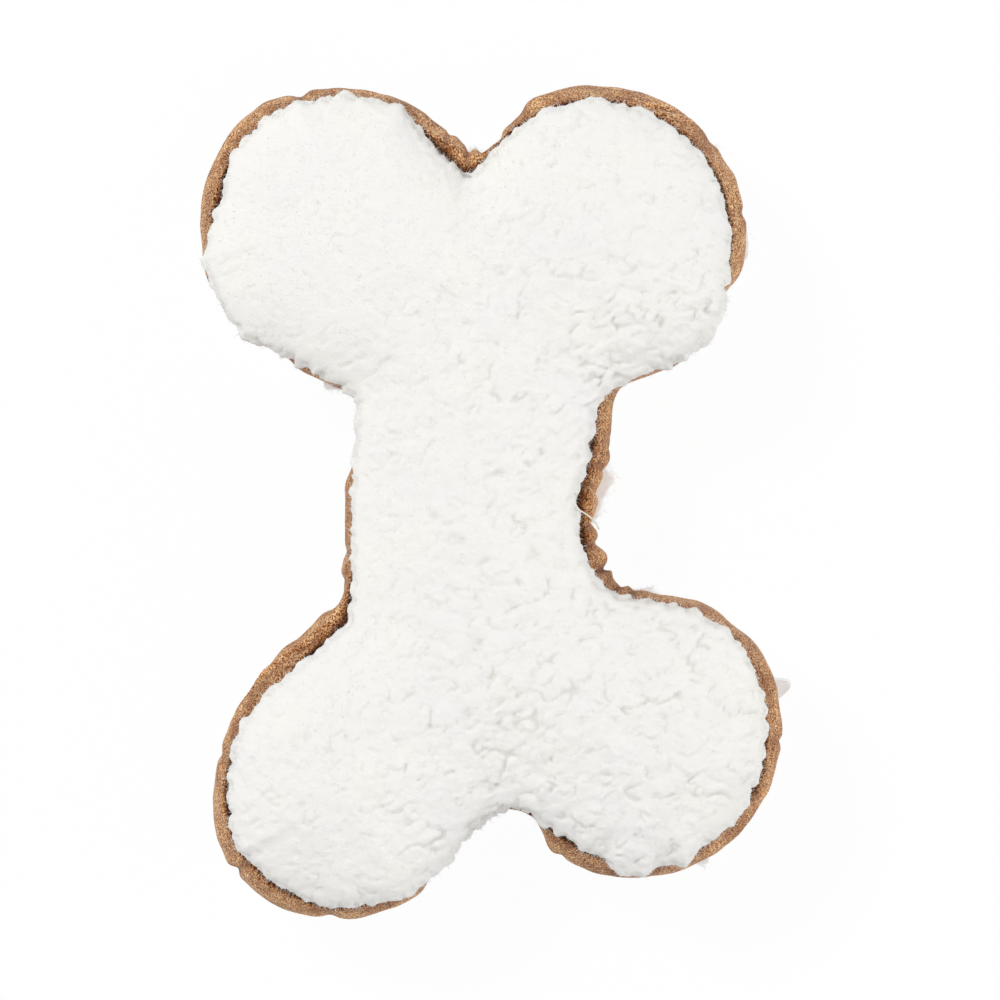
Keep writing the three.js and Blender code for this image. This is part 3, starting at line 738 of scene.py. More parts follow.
def edge_grid(side, edge, edge_place, last, first):
    """Rows from the dome's last, over the pile's ragged edge and under it to the seam."""
    rows = [first]
    push = fine.reach(edge + scallops(PILE_EDGE_HEIGHT - CURL_HEIGHT)) - edge_place
    lift = finer(side.swelling, DOME_ROWS)[-1]
    for done in np.arange(1, RING_ROWS + 1) / RING_ROWS:
        rows.append(dome_row(side, edge_place, last * (1 - done), lift * (1 - done), push * done**2))
    hang = np.maximum(edge, 0) * side.droop
    for out, height, hung in PILE_ROLL:
        low = height - hang * hung
        ragged = scallops(low - CURL_HEIGHT)
        rows.append(fine.row(edge + ragged + out, side.z(low)))
    under = edge + ragged - PILE_TUCK
    seam_side = np.minimum(under, -0.5)
    for share in (0.35, 0.7, 1.0):
        out = under * (1 - share) + seam_side * share
        rows.append(fine.row(out, side.z(PILE_BASE - hang * TUCK_DROOP * (1 - share))))
    return np.array(rows)


def backing_grid(side, last):
    """The cloth's inside, from the seam up to the spine."""
    rows = [last]
    for share in (0.05, 0.35, 0.7, 1.0):
        height = BACKING_HEIGHT + (side.crown - BACKING_DEPTH) * dome(share)
        rows.append(fine.row(-BACKING_IN, side.z(height), share))
    return np.array(rows)


def clumps(points, size, shift, warp, reach, width, gap_size, gap_shift, start, whole):
    """Leaning noise, how whole the creases between its clumps are, and those creases."""
    clump = noise.smooth(noise.warped(points + shift, warp, reach) @ PILE_LEAN, size)
    wholeness = eased(start, whole, noise.smooth(points + gap_shift, gap_size))
    return clump, wholeness, bell(clump, width) * wholeness


def matted(points, rough):
    """How far pile of a roughness stands out, and how deep in a crease each point is."""
    ledge, torn, groove = clumps(points, *LEDGES)
    curl, _, nick = clumps(points, *CURLS)
    tuft, parted, part = clumps(points, *TUFTS)
    part *= eased(0.4, 0.9, rough)
    puff = np.tanh(ledge * 6) * 0.22 + np.tanh(np.abs(ledge) * 4) * torn * 0.4 + np.tanh(curl * 5) * 0.13
    puff += np.tanh(np.abs(tuft) * 5) * parted * (1.2 * rough - 0.35) + noise.layers(points, FUZZ)
    out = noise.layers(points, LUMPS) + rough * (puff - 0.7 * groove - 0.6 * nick - 0.2 * part)
    crease = np.clip(groove + 0.8 * nick + 0.5 * part, 0, 1) * np.minimum(rough, 1)
    return out, crease


def roughness(points):
    """The pile is matted flat at the upper left and clumped towards the right."""
    x, y = points[:, 0], points[:, 1]
    right = eased(-60, 20, x) * (1 - 0.6 * eased(48, 85, y))
    clumps = eased(15, 50, x) * eased(85, 55, y) * eased(15, 40, y)
    lower_left = eased(30, -10, x) * eased(-20, -80, y)
    return 0.4 + 0.42 * right + 0.16 * clumps + 0.22 * lower_left


def top_points(side, edge, surface, ring):
    """Points scattered over a panel's smooth face inside its ring, and their normals."""
    tree = BVHTree.FromPolygons(surface.reshape(-1, 3).tolist(), grid_faces(*surface.shape[:2]).tolist())
    near_ring = flat_tree(ring)
    low = ring[:, :2].min(axis=0)
    high = ring[:, :2].max(axis=0)
    rows = np.arange(low[1], high[1], PILE_STEP * math.sqrt(3) / 2)
    across, along = np.meshgrid(np.arange(low[0], high[0], PILE_STEP), rows)
    across[1::2] += PILE_STEP / 2
    flat = np.column_stack((across.ravel(), along.ravel()))
    flat += (np.random.default_rng(SEED).random(flat.shape) - 0.5) * PILE_STEP * PILE_JITTER
    flat = flat[outline_distance(flat) < edge.max() - RING_IN]
    start = side.z(200)
    found = []
    for x, y in flat.tolist():
        place, direction, _, _ = tree.ray_cast((x, y, start), (0, 0, -side.out))
        if place is not None and near_ring.find((x, y, 0))[2] > PILE_STEP * RING_GAP:
            found.append((*place, *direction))
    found = np.array(found)
    normals = found[:, 3:] * np.sign(found[:, 5] * side.out)[:, None]
    return found[:, :3], normals


def face_triangles(ring, top):
    """Triangles over a ring of points and those inside it, which are numbered after it."""
    count = len(ring)
    places = [Vector(place) for place in np.vstack((ring[:, :2], top[:, :2])).tolist()]
    edges = [(i, (i + 1) % count) for i in range(count)]
    _, _, triangles, sources, _, _ = delaunay_2d_cdt(places, edges, [], 1, 1e-5)
    source = np.array([ids[0] if ids else -1 for ids in sources])
    triangles = np.array(triangles)
    return source[triangles[(source[triangles] >= 0).all(axis=1)]]


def fleece_panel(name, side, edge, material):
    """A panel of fleece: a matted face, a rolled pile edge and a plain backing.

    Also gives its points and outward directions, over the face and along the edge.
    """
    edge = edge - EDGE_PULL
    edge_place = fine.reach(edge)
    last = RING_IN / np.linalg.norm(edge_place - fine.origin, axis=1)
    surface = dome_grid(side, edge_place, last)
    rim = edge_grid(side, edge, edge_place, last, surface[-1])
    backing = backing_grid(side, rim[-1])
    rim_rows, count = rim.shape[:2]
    rim_end = rim_rows * count
    top, top_normals = top_points(side, edge, surface, rim[0])
    rim_normals = grid_normals(np.vstack((surface[-2:-1], rim)))[1:] * side.out
    points = np.vstack((rim.reshape(-1, 3), top))
    normals = np.vstack((rim_normals.reshape(-1, 3), top_normals))
    rows = np.repeat(np.arange(rim_rows), count)
    fade = np.append(np.clip((rim_rows - 1 - rows) / 4, 0, 1), np.ones(len(top)))
    past = np.append(eased(0, RING_ROWS, rows), np.zeros(len(top)))
    out, crease = matted(points, roughness(points))
    normals[:, :2] *= (1 - 0.75 * past)[:, None]
    points = points + normals * (out * fade)[:, None]
    points[:, 2] = np.maximum(points[:, 2], 0)
    # The rim's other rows come between its first row and the face's points.
    triangles = face_triangles(rim[0], top)
    triangles = np.where(triangles < count, triangles, triangles - count + rim_end)
    faces = [triangles, grid_faces(rim_rows, count), grid_faces(len(backing), count) + len(points)]
    if side.out < 0:
        faces = [face[:, ::-1] for face in faces]
    backing[0] = points[rim_end - count : rim_end]
    piece, first = make_mesh(name, np.vstack((points, backing.reshape(-1, 3))), faces, material)
    # Painted shade in the creases; the hidden backing takes the darkest of it.
    keep_shade(piece, "crease", np.append(crease * fade, np.ones(len(backing) * count))[first])
    return piece, (points[rim_end:], top_normals), (points[:rim_end].reshape(rim.shape), rim_normals)


def tuft_push():
    """How far the back pile reaches past the seam all round, with its tufts."""
    usual = fine.bulge * BACK_SHARE
    reach = usual.copy()
    for pixel, width in BACK_TUFTS:
        place = seen_at(pixel, BACK_SEAM)
        far = float(outline_distance(place)) + EDGE_PULL
        reach = np.maximum(reach, usual + (far - usual) * bell(fine.away_from(fine.nearest(place)), width))
    return reach


front_edge = fine.around([seen_at(np.array(pixel) + PILE_NUDGE, FRONT_SEAM + PILE_EDGE_HEIGHT)
                          for pixel in FRONT_PILE_EDGE])
back_edge = tuft_push()
front_pile, front_top, front_rim = fleece_panel("front_fleece", FRONT, front_edge, FLEECE)
back_pile, back_top, back_rim = fleece_panel("back_fleece", BACK, back_edge, GLOWING_BACK_FLEECE)

# Loose fibres that stand out of the pile

STRAND_SIDES = 3
STRAND_STEPS = 4
STRAND_WIDTH = 0.17
STRAND_ROOT = 0.25
STRAND_LEAN = 0.55
STRAND_BEND = 0.5
FACE_LENGTHS = (0.5, 1.4)
EDGE_LENGTHS = (0.6, 2.0)
# How many there are over the face and along the edge
FRONT_STRANDS = (5000, 3000)
BACK_STRANDS = (2600, 2000)


def strands(name, roots, directions, lengths, seed):
    """Tapered, curling fibres, each a closed spike."""
    random = np.random.default_rng(seed)
    count = len(roots)
    lean = random.normal(size=(count, 3)) * STRAND_LEAN
    bend = random.normal(size=(count, 3)) * STRAND_BEND
    heading = unit(directions + lean)
    side = unit(np.cross(heading, random.normal(size=(count, 3))))
    share = np.linspace(0, 1, STRAND_STEPS + 1)[:, None]
    middle = (heading[:, None] * share + bend[:, None] * share**2 / 2) * lengths[:, None, None]
    middle += roots[:, None]
    middle[:, 0] -= directions * STRAND_ROOT
    spokes = circles(side, np.cross(heading, side), STRAND_SIDES)[:, None] * (1 - share[:-1, None])
    rings = middle[:, :-1, None] + spokes * STRAND_WIDTH / 2
    points = np.concatenate((rings.reshape(count, -1, 3), middle[:, -1:]), axis=1)
    points[..., 2] = np.maximum(points[..., 2], 0)
    size = points.shape[1]
    corner = np.arange(STRAND_SIDES)
    last = size - 1 - STRAND_SIDES
    caps = [(last + i, last + (i + 1) % STRAND_SIDES, size - 1) for i in corner] + [corner[::-1]]
    start = (np.arange(count) * size)[:, None, None]
    walls = start + grid_faces(STRAND_STEPS, STRAND_SIDES)
    faces = [walls.reshape(-1, 4), (start + np.array(caps)).reshape(-1, 3)]
    return make_mesh(name, points.reshape(-1, 3), faces, FLEECE)[0]


def pile_strands(name, top, rim, count, edge_count, seed):
    """Fibres over a panel's face and, closer together, along its edge."""
    random = np.random.default_rng(seed)
    points, normals = top
    chosen = random.choice(len(points), count, replace=False)
    edge_points, edge_normals = (array[RING_ROWS - 2 : RING_ROWS + 4].reshape(-1, 3) for array in rim)
    edge_chosen = random.choice(len(edge_points), edge_count, replace=False)
    roots = np.vstack((points[chosen], edge_points[edge_chosen]))
    directions = np.vstack((normals[chosen], edge_normals[edge_chosen]))
    lengths = random.uniform(*FACE_LENGTHS, count), random.uniform(*EDGE_LENGTHS, edge_count)
    return strands(name, roots, directions, np.concatenate(lengths), seed)


front_fibres = pile_strands("front_pile_fibres", front_top, front_rim, *FRONT_STRANDS, SEED + 1)
back_fibres = pile_strands("back_pile_fibres", back_top, back_rim, *BACK_STRANDS, SEED + 2)

# Suede gusset

WALL_ROWS = 34
WALL_TOP = FRONT_SEAM - 1.1
WALL_BOTTOM = BACK_SEAM + 1.1
# The rim's shoulder: how far it starts inside the pile's edge, where it ends outside the seam, how deep the
# seam is sunk, how high the stuffing puffs it where it is wide, and how far it has fallen at its end
LIP_START = 0.9
LIP_END = 0.6
LIP_SINK = 1.2
LIP_PUFF = 1.3
LIP_WIDE = 5.5
LIP_FALL = 0.35
LIP_ROWS = 7
LIP_UNDER = (5.0, 2.2)
SUEDE_THICKNESS = 1.1
LIP_THICKNESS = 0.35
JOIN_DIP = 1.2
JOIN_WIDTH = 2.4
JOIN_FOLD = 3.5
JOIN_GAP = 0.12
# Noise on the gusset, in layers of size, shift and weight: puckers along the seams and soft dents
PUCKERS = ((8, 0, 1.05), (4, 17, 0.49))
DENTS = ((15, 0, 0.9), (6, 3, 0.45))
# How fast puckers fall off from a seam, and how much less they change across the rim than along it
PUCKER_FALL = 4.5
PUCKER_SQUASH = 0.25
# Painted shade on the suede: how dark it is in the seam and in the front pile's shadow beside the pile, and
# how far out that goes
SEAM_SHADE = 0.8
PILE_SHADE = 0.42
PILE_SHADE_WIDTH = 2.8

# Pixels of folds across the rim, each with its depth, its half width, how far it slants from back to front
# and how much of its depth stands out again beside it
PLEATS = [
    ((597, 468), 1.4, 1.8, 3, 0.2), ((589, 492), 2.2, 1.2, 9, 0.3), ((602, 438), 1.2, 2.4, 12, 0.2),
    ((590, 526), 2.2, 1.4, -1.5, 0.3), ((592, 549), 1.5, 1.4, 1.5, 0.3), ((604, 571), 2, 1.5, 2, 0.3),
    ((612, 583), 1.2, 1, 2, 0.3), ((627, 592), 1.4, 1.6, 0.5, 0.3), ((776, 741), 0.8, 1, 0, 0.4),
    ((733, 215), 0.9, 1.4, 1, 0.4), ((712, 140), 0.8, 2, 1, 0.3), ((680, 125), 1.5, 1.8, 40, 0.4),
    ((468, 163), 1.6, 1, 0.5, 0.3), ((450, 142), 0.8, 1.2, 0.5, 0.3), ((272, 672), 1.6, 2.5, -70, 0.4),
    ((243, 866), 1.6, 1.5, 2, 0.4), ((520, 110), 1.2, 2, 1, 0.3), ((347, 555), 0.9, 1.8, 0.5, 0.2),
    ((343, 581), 1.2, 1.6, 1, 0.3), ((222, 755), 0.8, 1.8, 1, 0.3), ((300, 96), 0.5, 1.8, 0, 0.2),
    ((560, 850), 0.8, 1.6, 1, 0.3),
]
# The share of the height that folds slant about, and the ridge beside each, as shares of its half width
SLANT_MIDDLE = 0.75
RIDGE_AWAY = 2.1
RIDGE_WIDTH = 1.6
# The depth at which a fold's painted shade is darkest, and how wide that shade is, as a share of its half
# width
FOLD_SHADE_DEPTH = 2.4
FOLD_SHADE_WIDTH = 0.6
# Pixels where the rim is drawn in, or pushed out, with the depth and half width
DRAWN_IN = [
    ((597, 510), 4, 11), ((608, 570), -2.4, 6), ((722, 325), 3.6, 12), ((685, 363), -0.4, 7),
    ((245, 335), 3, 15), ((348, 440), 2.5, 10), ((505, 815), 3, 9), ((450, 860), 2.5, 9),
    ((504, 126), 3, 5.5), ((200, 235), 1.3, 12), ((245, 118), -1.2, 10), ((350, 90), 0.8, 12),
    ((214, 765), 1.6, 13), ((275, 655), -1.5, 9), ((340, 600), 2.2, 5), ((350, 915), 0.8, 14),
    ((660, 592), 1.3, 9), ((762, 660), -0.9, 10), ((778, 790), 0.7, 14), ((528, 820), 2.2, 6),
    ((352, 405), 2, 4), ((342, 530), 1, 14), ((486, 149), 3, 4.5), ((712, 150), 0.8, 8),
]


def lip_rows(side, inner):
    """Rows from under a pile, out of the seam and over the rim's shoulder."""
    sunk = inner - LIP_START
    width = LIP_END - sunk
    puff = LIP_PUFF * np.minimum(width / LIP_WIDE, 1)
    rows = [fine.row(inner - under, side.z(-LIP_SINK)) for under in LIP_UNDER]
    for share in np.linspace(0, 1, LIP_ROWS):
        height = puff * math.sin(math.pi * share) - LIP_SINK * (1 - share) ** 4 - LIP_FALL * share**4
        rows.append(fine.row(sunk + width * share, side.z(height)))
    return rows


def gusset_rows():
    """The gusset's smooth outer face, from under the front pile to under the back one."""
    rows = lip_rows(FRONT, np.minimum(front_edge, 0))
    for z, lift in zip(np.linspace(WALL_TOP, WALL_BOTTOM, WALL_ROWS), finer(wall_swell, WALL_ROWS)):
        rows.append(fine.row(wall_outside(fine.bulge, z), z) + lift)
    rows += lip_rows(BACK, np.minimum(back_edge, 0))[::-1]
    return np.array(rows)


def rows_from_end(grid):
    rows = np.arange(len(grid))
    return np.minimum(rows, len(grid) - 1 - rows)


def share_of_height(grid):
    """How far up from the back seam to the front one each point is."""
    return (grid[..., 2] - BACK_SEAM) / (FRONT_SEAM - BACK_SEAM)


def gusset_push(grid):
    """Puckers along the seams and soft dents, as a push along the outward direction."""
    z = grid[..., 2]
    low = share_of_height(grid)
    near_seams = sum(np.exp(-np.maximum(share, 0) * PUCKER_FALL) for share in (1 - low, low))
    run = np.broadcast_to(fine.run, z.shape)
    along = np.stack((run, z * PUCKER_SQUASH, np.zeros_like(z)), axis=-1).reshape(-1, 3)
    # The run closes on itself, so the puckers fade where it starts, at the top notch.
    fade = np.minimum(run, fine.length - run).reshape(-1)
    pucker = noise.layers(along, PUCKERS) * eased(0, 8, fade)
    dent = noise.layers(grid.reshape(-1, 3), DENTS)
    push = pucker.reshape(z.shape) * near_seams + dent.reshape(z.shape)
    return push * eased(2, 8, rows_from_end(grid))[:, None]


def gusset_folds(grid):
    """Folds across the rim, where it is drawn in, and the dip at each join.

    Gives a push for each point, and how much painted shade it takes: in folds, in the dips at the joins, in
    the sunken seam and in the front pile's shadow.
    """
    low = share_of_height(grid)
    swollen = np.clip(1 - (2 * low - 1) ** 2, 0, 1)
    frontwards = eased(0.1, 0.7, low)
    push, down, sunk = np.zeros((3, *low.shape))
    for pixel, depth, width, slant, beside in PLEATS:
        away = fine.away_from_pixel(pixel) + slant * (low - SLANT_MIDDLE)
        fold = bell(away, width)
        ridge = beside * bell(away - RIDGE_AWAY * width, RIDGE_WIDTH * width)
        push -= depth * (fold - ridge) * (0.5 + 0.5 * swollen) * (0.4 + 0.6 * frontwards)
        down -= depth * fold * 0.6 * eased(0.7, 1, low)
        # Painted shade down in the fold.
        sunk += depth / FOLD_SHADE_DEPTH * bell(away, FOLD_SHADE_WIDTH * width) * frontwards
    for pixel, depth, width in DRAWN_IN:
        push -= depth * np.exp(-((fine.away_from_pixel(pixel) / width) ** 4)) * swollen
    for ray in JOIN_RAYS:
        dip = bell(fine.away_from(ray)[None, :], JOIN_WIDTH)
        push -= JOIN_DIP * dip * (0.2 + 0.8 * swollen)
        # A little painted shade in the dip.
        sunk += 0.2 * dip**4
    from_end = rows_from_end(grid)[:, None]
    inner = eased(1, 4, from_end)
    past_pile = outline_distance(grid[..., :2]) - front_edge
    # Painted shade in the sunken seam, and painted shadow of the front pile beside it.
    sunk += SEAM_SHADE * eased(8, 2, from_end)
    sunk += PILE_SHADE * eased(PILE_SHADE_WIDTH, 0, past_pile) * eased(0.5, 0.8, low)
    flat = outline_slope(grid[..., :2]) * (push * inner)[..., None]
    return np.concatenate((flat, (down * inner)[..., None]), axis=-1), np.clip(sunk, 0, 1)


def sheet_mesh(name, outer, normals, thickness, shade, material):
    """A closed sheet from its outer face, thickened inwards, that keeps its shade."""
    inner = outer - normals * thickness[:, None, None]
    rows, columns = outer.shape[:2]
    face = grid_faces(rows, columns, closes=False)
    count = rows * columns
    index = np.arange(count).reshape(rows, columns)
    border = np.concatenate((index[0, :-1], index[:-1, -1], index[-1, :0:-1], index[:0:-1, 0]))
    after = np.roll(border, -1)
    sides = np.stack((border, border + count, after + count, after), axis=1)
    points = np.vstack((outer, inner)).reshape(-1, 3)
    piece, first = make_mesh(name, points, [face, face[:, ::-1] + count, sides], material)
    keep_shade(piece, "sunk", np.tile(shade.ravel(), 2)[first])
    return piece


def gusset_strip(name, outer, sunk, start, end):
    """A strip of the gusset, clockwise from join to join, with its ends turned in."""
    span = (end - start) % fine.count
    columns = (start + np.arange(span + 1)) % fine.count
    strip = outer[:, columns].copy()
    shade = np.pad(sunk[:, columns], ((0, 0), (1, 1)), mode="edge")
    ahead = strip[:, 1] - strip[:, 0]
    behind = strip[:, -1] - strip[:, -2]
    strip[:, 0] += unit(ahead) * JOIN_GAP
    strip[:, -1] -= unit(behind) * JOIN_GAP
    inwards = np.zeros_like(strip)
    inwards[..., :2] = -outline_slope(strip[..., :2])
    opening = strip[:, :1] + inwards[:, :1] * JOIN_FOLD
    closing = strip[:, -1:] + inwards[:, -1:] * JOIN_FOLD
    strip = np.concatenate((opening, strip, closing), axis=1)
    thickness = LIP_THICKNESS + (SUEDE_THICKNESS - LIP_THICKNESS) * eased(2, 11, rows_from_end(strip))
    return sheet_mesh(name, strip, grid_normals(strip, closes=False), thickness, shade, SUEDE)


smooth_wall = gusset_rows()
folds, sunk = gusset_folds(smooth_wall)
wall_face = smooth_wall + grid_normals(smooth_wall) * gusset_push(smooth_wall)[..., None] + folds
suede_right = gusset_strip("suede_right", wall_face, sunk, JOIN_RAYS[0], JOIN_RAYS[1])
suede_left = gusset_strip("suede_left", wall_face, sunk, JOIN_RAYS[1], JOIN_RAYS[0])

# Sewing threads

THREAD_RADIUS = 0.3
THREAD_INSET = 1.2
THREAD_SIDES = 8
THREAD_STEPS = 40
SEAM_SUNK = 2.4
STITCH = 2.5
# The hand-closed opening: shares of the shaft's right side, its stitches' depth and their length in rays
CLOSING_SHARES = (0.2, 0.8)
CLOSING_DEPTH = 5.8
CLOSING_STITCH = 3.5
# Pixels that the loose end of the closing thread passes over
LOOSE_END = [(576, 508), (581, 511), (586, 514), (591, 518), (596, 523), (599, 529)]
LOOSE_HEIGHT = 53.5
LOOSE_DROP = 6.0
LOOSE_RADIUS = 0.22


def tube(path, radius, closes):
    """Points and faces of a tube along a path."""
    tangent = unit(headings(path, 0, closes))
    guide = np.where(np.abs(tangent[:, 2:]) > 0.9, np.array((1.0, 0, 0)), np.array((0, 0, 1.0)))
    side = unit(np.cross(tangent, guide))
    ring = circles(side, np.cross(side, tangent), THREAD_SIDES)
    points = path[:, None] + ring * np.broadcast_to(radius, len(path))[:, None, None]
    if closes:
        points = np.concatenate((points, points[:1]))
    faces = [grid_faces(len(points), THREAD_SIDES)[:, ::-1]]
    if not closes:
        corner = np.arange(THREAD_SIDES)
        faces.append(np.stack((corner, (len(path) - 1) * THREAD_SIDES + corner[::-1])))
    return points.reshape(-1, 3), faces


def stitched(path):
    """The radius of a thread along its path, drawn in at each stitch hole."""
    steps = np.linalg.norm(np.diff(path, axis=0), axis=1)
    run = np.append(0, np.cumsum(steps))
    return THREAD_RADIUS * (0.6 + 0.4 * np.abs(np.sin(math.pi * run / STITCH)) ** 0.5)


def thread(name, path, closes=False):
    points, faces = tube(path, stitched(path), closes)
    return make_mesh(name, points, faces, THREAD)[0]


def seam_path(side):
    return fine.row(-THREAD_INSET, side.z(-SEAM_SUNK))


def join_path(ray):
    heights = np.linspace(WALL_BOTTOM, WALL_TOP, THREAD_STEPS)
    inset = JOIN_DIP + THREAD_INSET
    return np.array([fine.row(wall_outside(fine.bulge, z) - inset, z)[ray] for z in heights])


def closing_threads(name, rays):
    """Hand stitches that zigzag along the opening, and the loose end of their thread."""
    swing = 0.5 - 0.5 * np.cos(np.arange(len(rays)) * math.pi / CLOSING_STITCH)
    outside = np.zeros(fine.count)
    outside[rays] = -THREAD_INSET - (CLOSING_DEPTH - THREAD_INSET) * swing
    points, faces = tube(fine.row(outside, FRONT.z(-SEAM_SUNK))[rays], THREAD_RADIUS, False)
    heights = LOOSE_HEIGHT - np.linspace(0, 1, len(LOOSE_END)) ** 2 * LOOSE_DROP
    corners = np.array([(*seen_at(pixel, z), z) for pixel, z in zip(LOOSE_END, heights)])
    share = np.linspace(0, len(corners) - 1, THREAD_STEPS)
    end = np.column_stack([np.interp(share, np.arange(len(corners)), column) for column in corners.T])
    end_points, end_faces = tube(end, LOOSE_RADIUS, False)
    faces = faces + [face + len(points) for face in end_faces]
    return make_mesh(name, np.vstack((points, end_points)), faces, THREAD)[0]


shaft_rays = SHAFT_STEPS * FINE
closing_start, closing_end = (fine.right_side + int(share * shaft_rays) for share in CLOSING_SHARES)
open_rays = np.arange(closing_end + 1, closing_start + fine.count) % fine.count
front_seam = thread("front_seam_stitches", seam_path(FRONT)[open_rays])
back_seam = thread("back_seam_stitches", seam_path(BACK), closes=True)
closing_seam = closing_threads("closing_stitches", np.arange(closing_start + 1, closing_end))
join_seams = [thread(name, join_path(ray))
              for name, ray in zip(("upper_join_stitches", "lower_join_stitches"), JOIN_RAYS)]

# Filling and squeaker bulb

FILL_NODES = ["fill_upper_left", "fill_upper_right", "fill_lower_left", "fill_lower_right",
              "fill_shaft_front", "fill_shaft_back"]
WAD_STEP = 2.2
WAD_SMOOTHING = 4
WAD_ROUGHNESS = 1.6
WAD_MARGIN = 2.6
BULB_STEP = 0.55
BULB_SMOOTHING = 6
# The wad over the squeaker keeps clear of the seam allowances that come down in a squeeze.
SHAFT_WAD_IN = 9.5
SHAFT_WAD_HEIGHTS = (28, 36)


def remeshed(name, node, step, smoothing, material):
    """A node's solid with an even, finer mesh."""
    piece = new_piece(name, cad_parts[node].data.copy())
    remesh = piece.modifiers.new("even", "REMESH")
    remesh.mode = "VOXEL"
    remesh.voxel_size = step * MM
    remesh.use_smooth_shade = True
    smooth = piece.modifiers.new("soft", "SMOOTH")
    smooth.factor = 0.5
    smooth.iterations = smoothing
    ready = piece.evaluated_get(bpy.context.evaluated_depsgraph_get())
    piece.data = bpy.data.meshes.new_from_object(ready)
    piece.modifiers.clear()
    clad(piece, material)
    return piece


def rim_room(points):
    """How far outside the seam each point may lie and still be inside the folded rim."""
    tree = flat_tree(fine.seam)
    rays = np.array([tree.find((x, y, 0))[1] for x, y in points[:, :2].tolist()])
    inwards = -(folds[..., :2] * outline_slope(smooth_wall[..., :2])).sum(axis=-1)
    drawn = np.maximum(inwards.max(axis=0), 0)
    heights = np.clip(points[:, 2], BACK_SEAM, FRONT_SEAM)
    return wall_outside(fine.bulge[rays], heights) - drawn[rays] - WAD_MARGIN


def fluffed(piece, over_squeaker):
    """Loosens a wad's surface into tufts, always inwards from its solid."""
    mesh = piece.data
    points = vertex_values(mesh, "co").astype(float) / MM - SHIFT
    lumps = np.abs(noise.smooth(noise.warped(points, 9, 4), 8))
    tufts = 0.5 + lumps * 1.4 + noise.smooth(points, 3.5) * 0.5
    points = points - vertex_values(mesh, "normal") * (WAD_ROUGHNESS * np.clip(tufts, 0.1, 1.5))[:, None]
    outside = outline_distance(points[:, :2])
    past = np.maximum(outside - rim_room(points), 0)
    if over_squeaker:
        past = np.maximum(past, (outside + SHAFT_WAD_IN) * eased(*SHAFT_WAD_HEIGHTS, points[:, 2]))
    points[:, :2] -= outline_slope(points[:, :2]) * past[:, None]
    mesh.vertices.foreach_set("co", ((points + SHIFT) * MM).astype(np.float32).ravel())
    mesh.update()


wads = []
for node in FILL_NODES:
    wad = remeshed(node.replace("fill", "wad"), node, WAD_STEP, WAD_SMOOTHING, FIBRE)
    fluffed(wad, node == "fill_shaft_front")
    wads.append(wad)
bulb = remeshed("blown_bulb", "squeaker_bulb", BULB_STEP, BULB_SMOOTHING, BULB)

# What each piece stands for and which body it rides on; what joins front and back is baked in place.

for piece, body, nodes, slot in (
    (front_pile, "front", ["front_panel"], "fleece"),
    (front_fibres, "front", [], "fleece"),
    (back_pile, "root", ["back_panel"], "fleece"),
    (back_fibres, "root", [], "fleece"),
    (front_seam, "front", ["front_seam_thread"], "thread"),
    (closing_seam, "front", ["closing_seam_thread"], "thread"),
    (back_seam, "root", ["back_seam_thread"], "thread"),
):
    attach(piece, body)
    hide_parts(*nodes)

bending = [
    (suede_right, ["gusset_strip_right"], "suede"),
    (suede_left, ["gusset_strip_left"], "suede"),
    (join_seams[0], ["upper_join_thread"], "thread"),
    (join_seams[1], ["lower_join_thread"], "thread"),
    (bulb, ["squeaker_bulb"], "bulb_plastic"),
]
bending += [(wad, [node], "fibre") for wad, node in zip(wads, FILL_NODES)]
for piece, nodes, slot in bending:
    if piece == bulb or nodes == ["fill_shaft_front"]:
        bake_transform(piece)
    else:
        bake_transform(piece)
    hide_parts(*nodes)

NODE_MATERIALS = {"squeaker_plug": PLUG, "squeaker_reed_clip": PLUG, "squeaker_reed": REED}
for node, material in NODE_MATERIALS.items():
    clad(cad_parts[node], material)

# Stage, light and camera

# Lamps, in metres: place, width and power
LAMPS = {
    "key": ((-0.92, 0.8, 1.65), 0.5, 18.6),
    "top_light": ((0.5, -0.5, 1.9), 1.0, 4.6),
    "fill_light": ((1.6, -0.3, 0.25), 0.8, 9),
}
SKY = 0.57
WHITE = (1, 1, 1, 1)
FLOOR_SIZE = 8.0
FLOOR_Z = -0.0002
FLOOR_COLOUR = (0.9, 0.9, 0.9, 1)
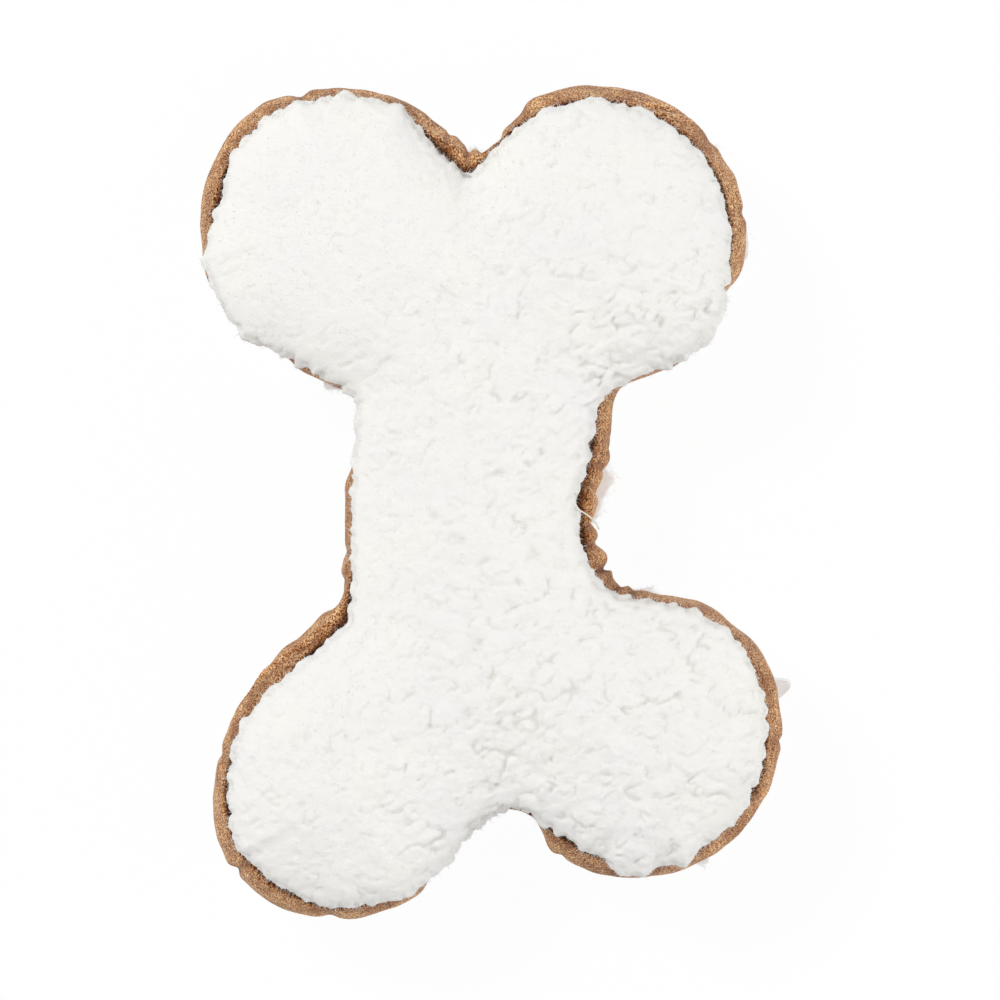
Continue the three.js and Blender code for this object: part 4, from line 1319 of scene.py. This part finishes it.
# How much of the floor's look to the camera is plain white, which leaves a soft shadow
FLOOR_WHITE = 0.95


def stage():
    bpy.ops.mesh.primitive_plane_add(size=FLOOR_SIZE, location=(0, 0, FLOOR_Z))
    floor = bpy.context.object
    floor.name = "floor"
    nodes = Nodes(bpy.data.materials.new("white_floor"))
    clad(floor, nodes.surface({"Base Color": FLOOR_COLOUR, "Roughness": 1, "Specular IOR Level": 0}))
    white = nodes.add("Emission", {"Strength": 1})
    to_camera = nodes.add("LightPath", {}, "Is Camera Ray")
    share = nodes.add("Math", {0: to_camera, 1: FLOOR_WHITE}, operation="MULTIPLY")
    above = nodes.mixed(share, nodes.tree.nodes["Principled BSDF"].outputs[0], white)
    from_below = nodes.add("NewGeometry", {}, "Backfacing")
    look = nodes.mixed(from_below, above, nodes.add("BsdfTransparent", {}))
    nodes.set(nodes.tree.nodes["Material Output"], {"Surface": look})


def lights():
    nodes = Nodes(bpy.data.worlds.new("studio"))
    bpy.context.scene.world = nodes.owner
    sky = nodes.tree.nodes["Background"]
    nodes.set(sky, {"Color": WHITE, "Strength": SKY})
    to_camera = nodes.add("LightPath", {}, "Is Camera Ray")
    look = nodes.mixed(to_camera, sky.outputs[0], nodes.add("Background", {"Color": WHITE}))
    nodes.set(nodes.tree.nodes["World Output"], {"Surface": look})
    for name, (place, width, power) in LAMPS.items():
        lamp = bpy.data.lights.new(name, "AREA")
        lamp.shape = "DISK"
        lamp.size = width
        lamp.energy = power
        light = new_piece(name, lamp)
        light.location = place
        light.rotation_euler = (-Vector(place)).to_track_quat("-Z", "Y").to_euler()


def camera():
    lens = bpy.data.cameras.new("camera")
    lens.sensor_width = SENSOR
    lens.lens = SENSOR * (CAMERA_HEIGHT - MIDDLE) / VIEW_WIDTH
    view = new_piece("camera", lens)
    x, y = VIEW_CENTRE + SHIFT[:2]
    view.location = (x * MM, y * MM, CAMERA_HEIGHT * MM)
    bpy.context.scene.camera = view


stage()
lights()
camera()
bpy.context.scene.view_settings.view_transform = "Standard"


def corners(box):
    return [[float(value) for value in corner] for corner in box]
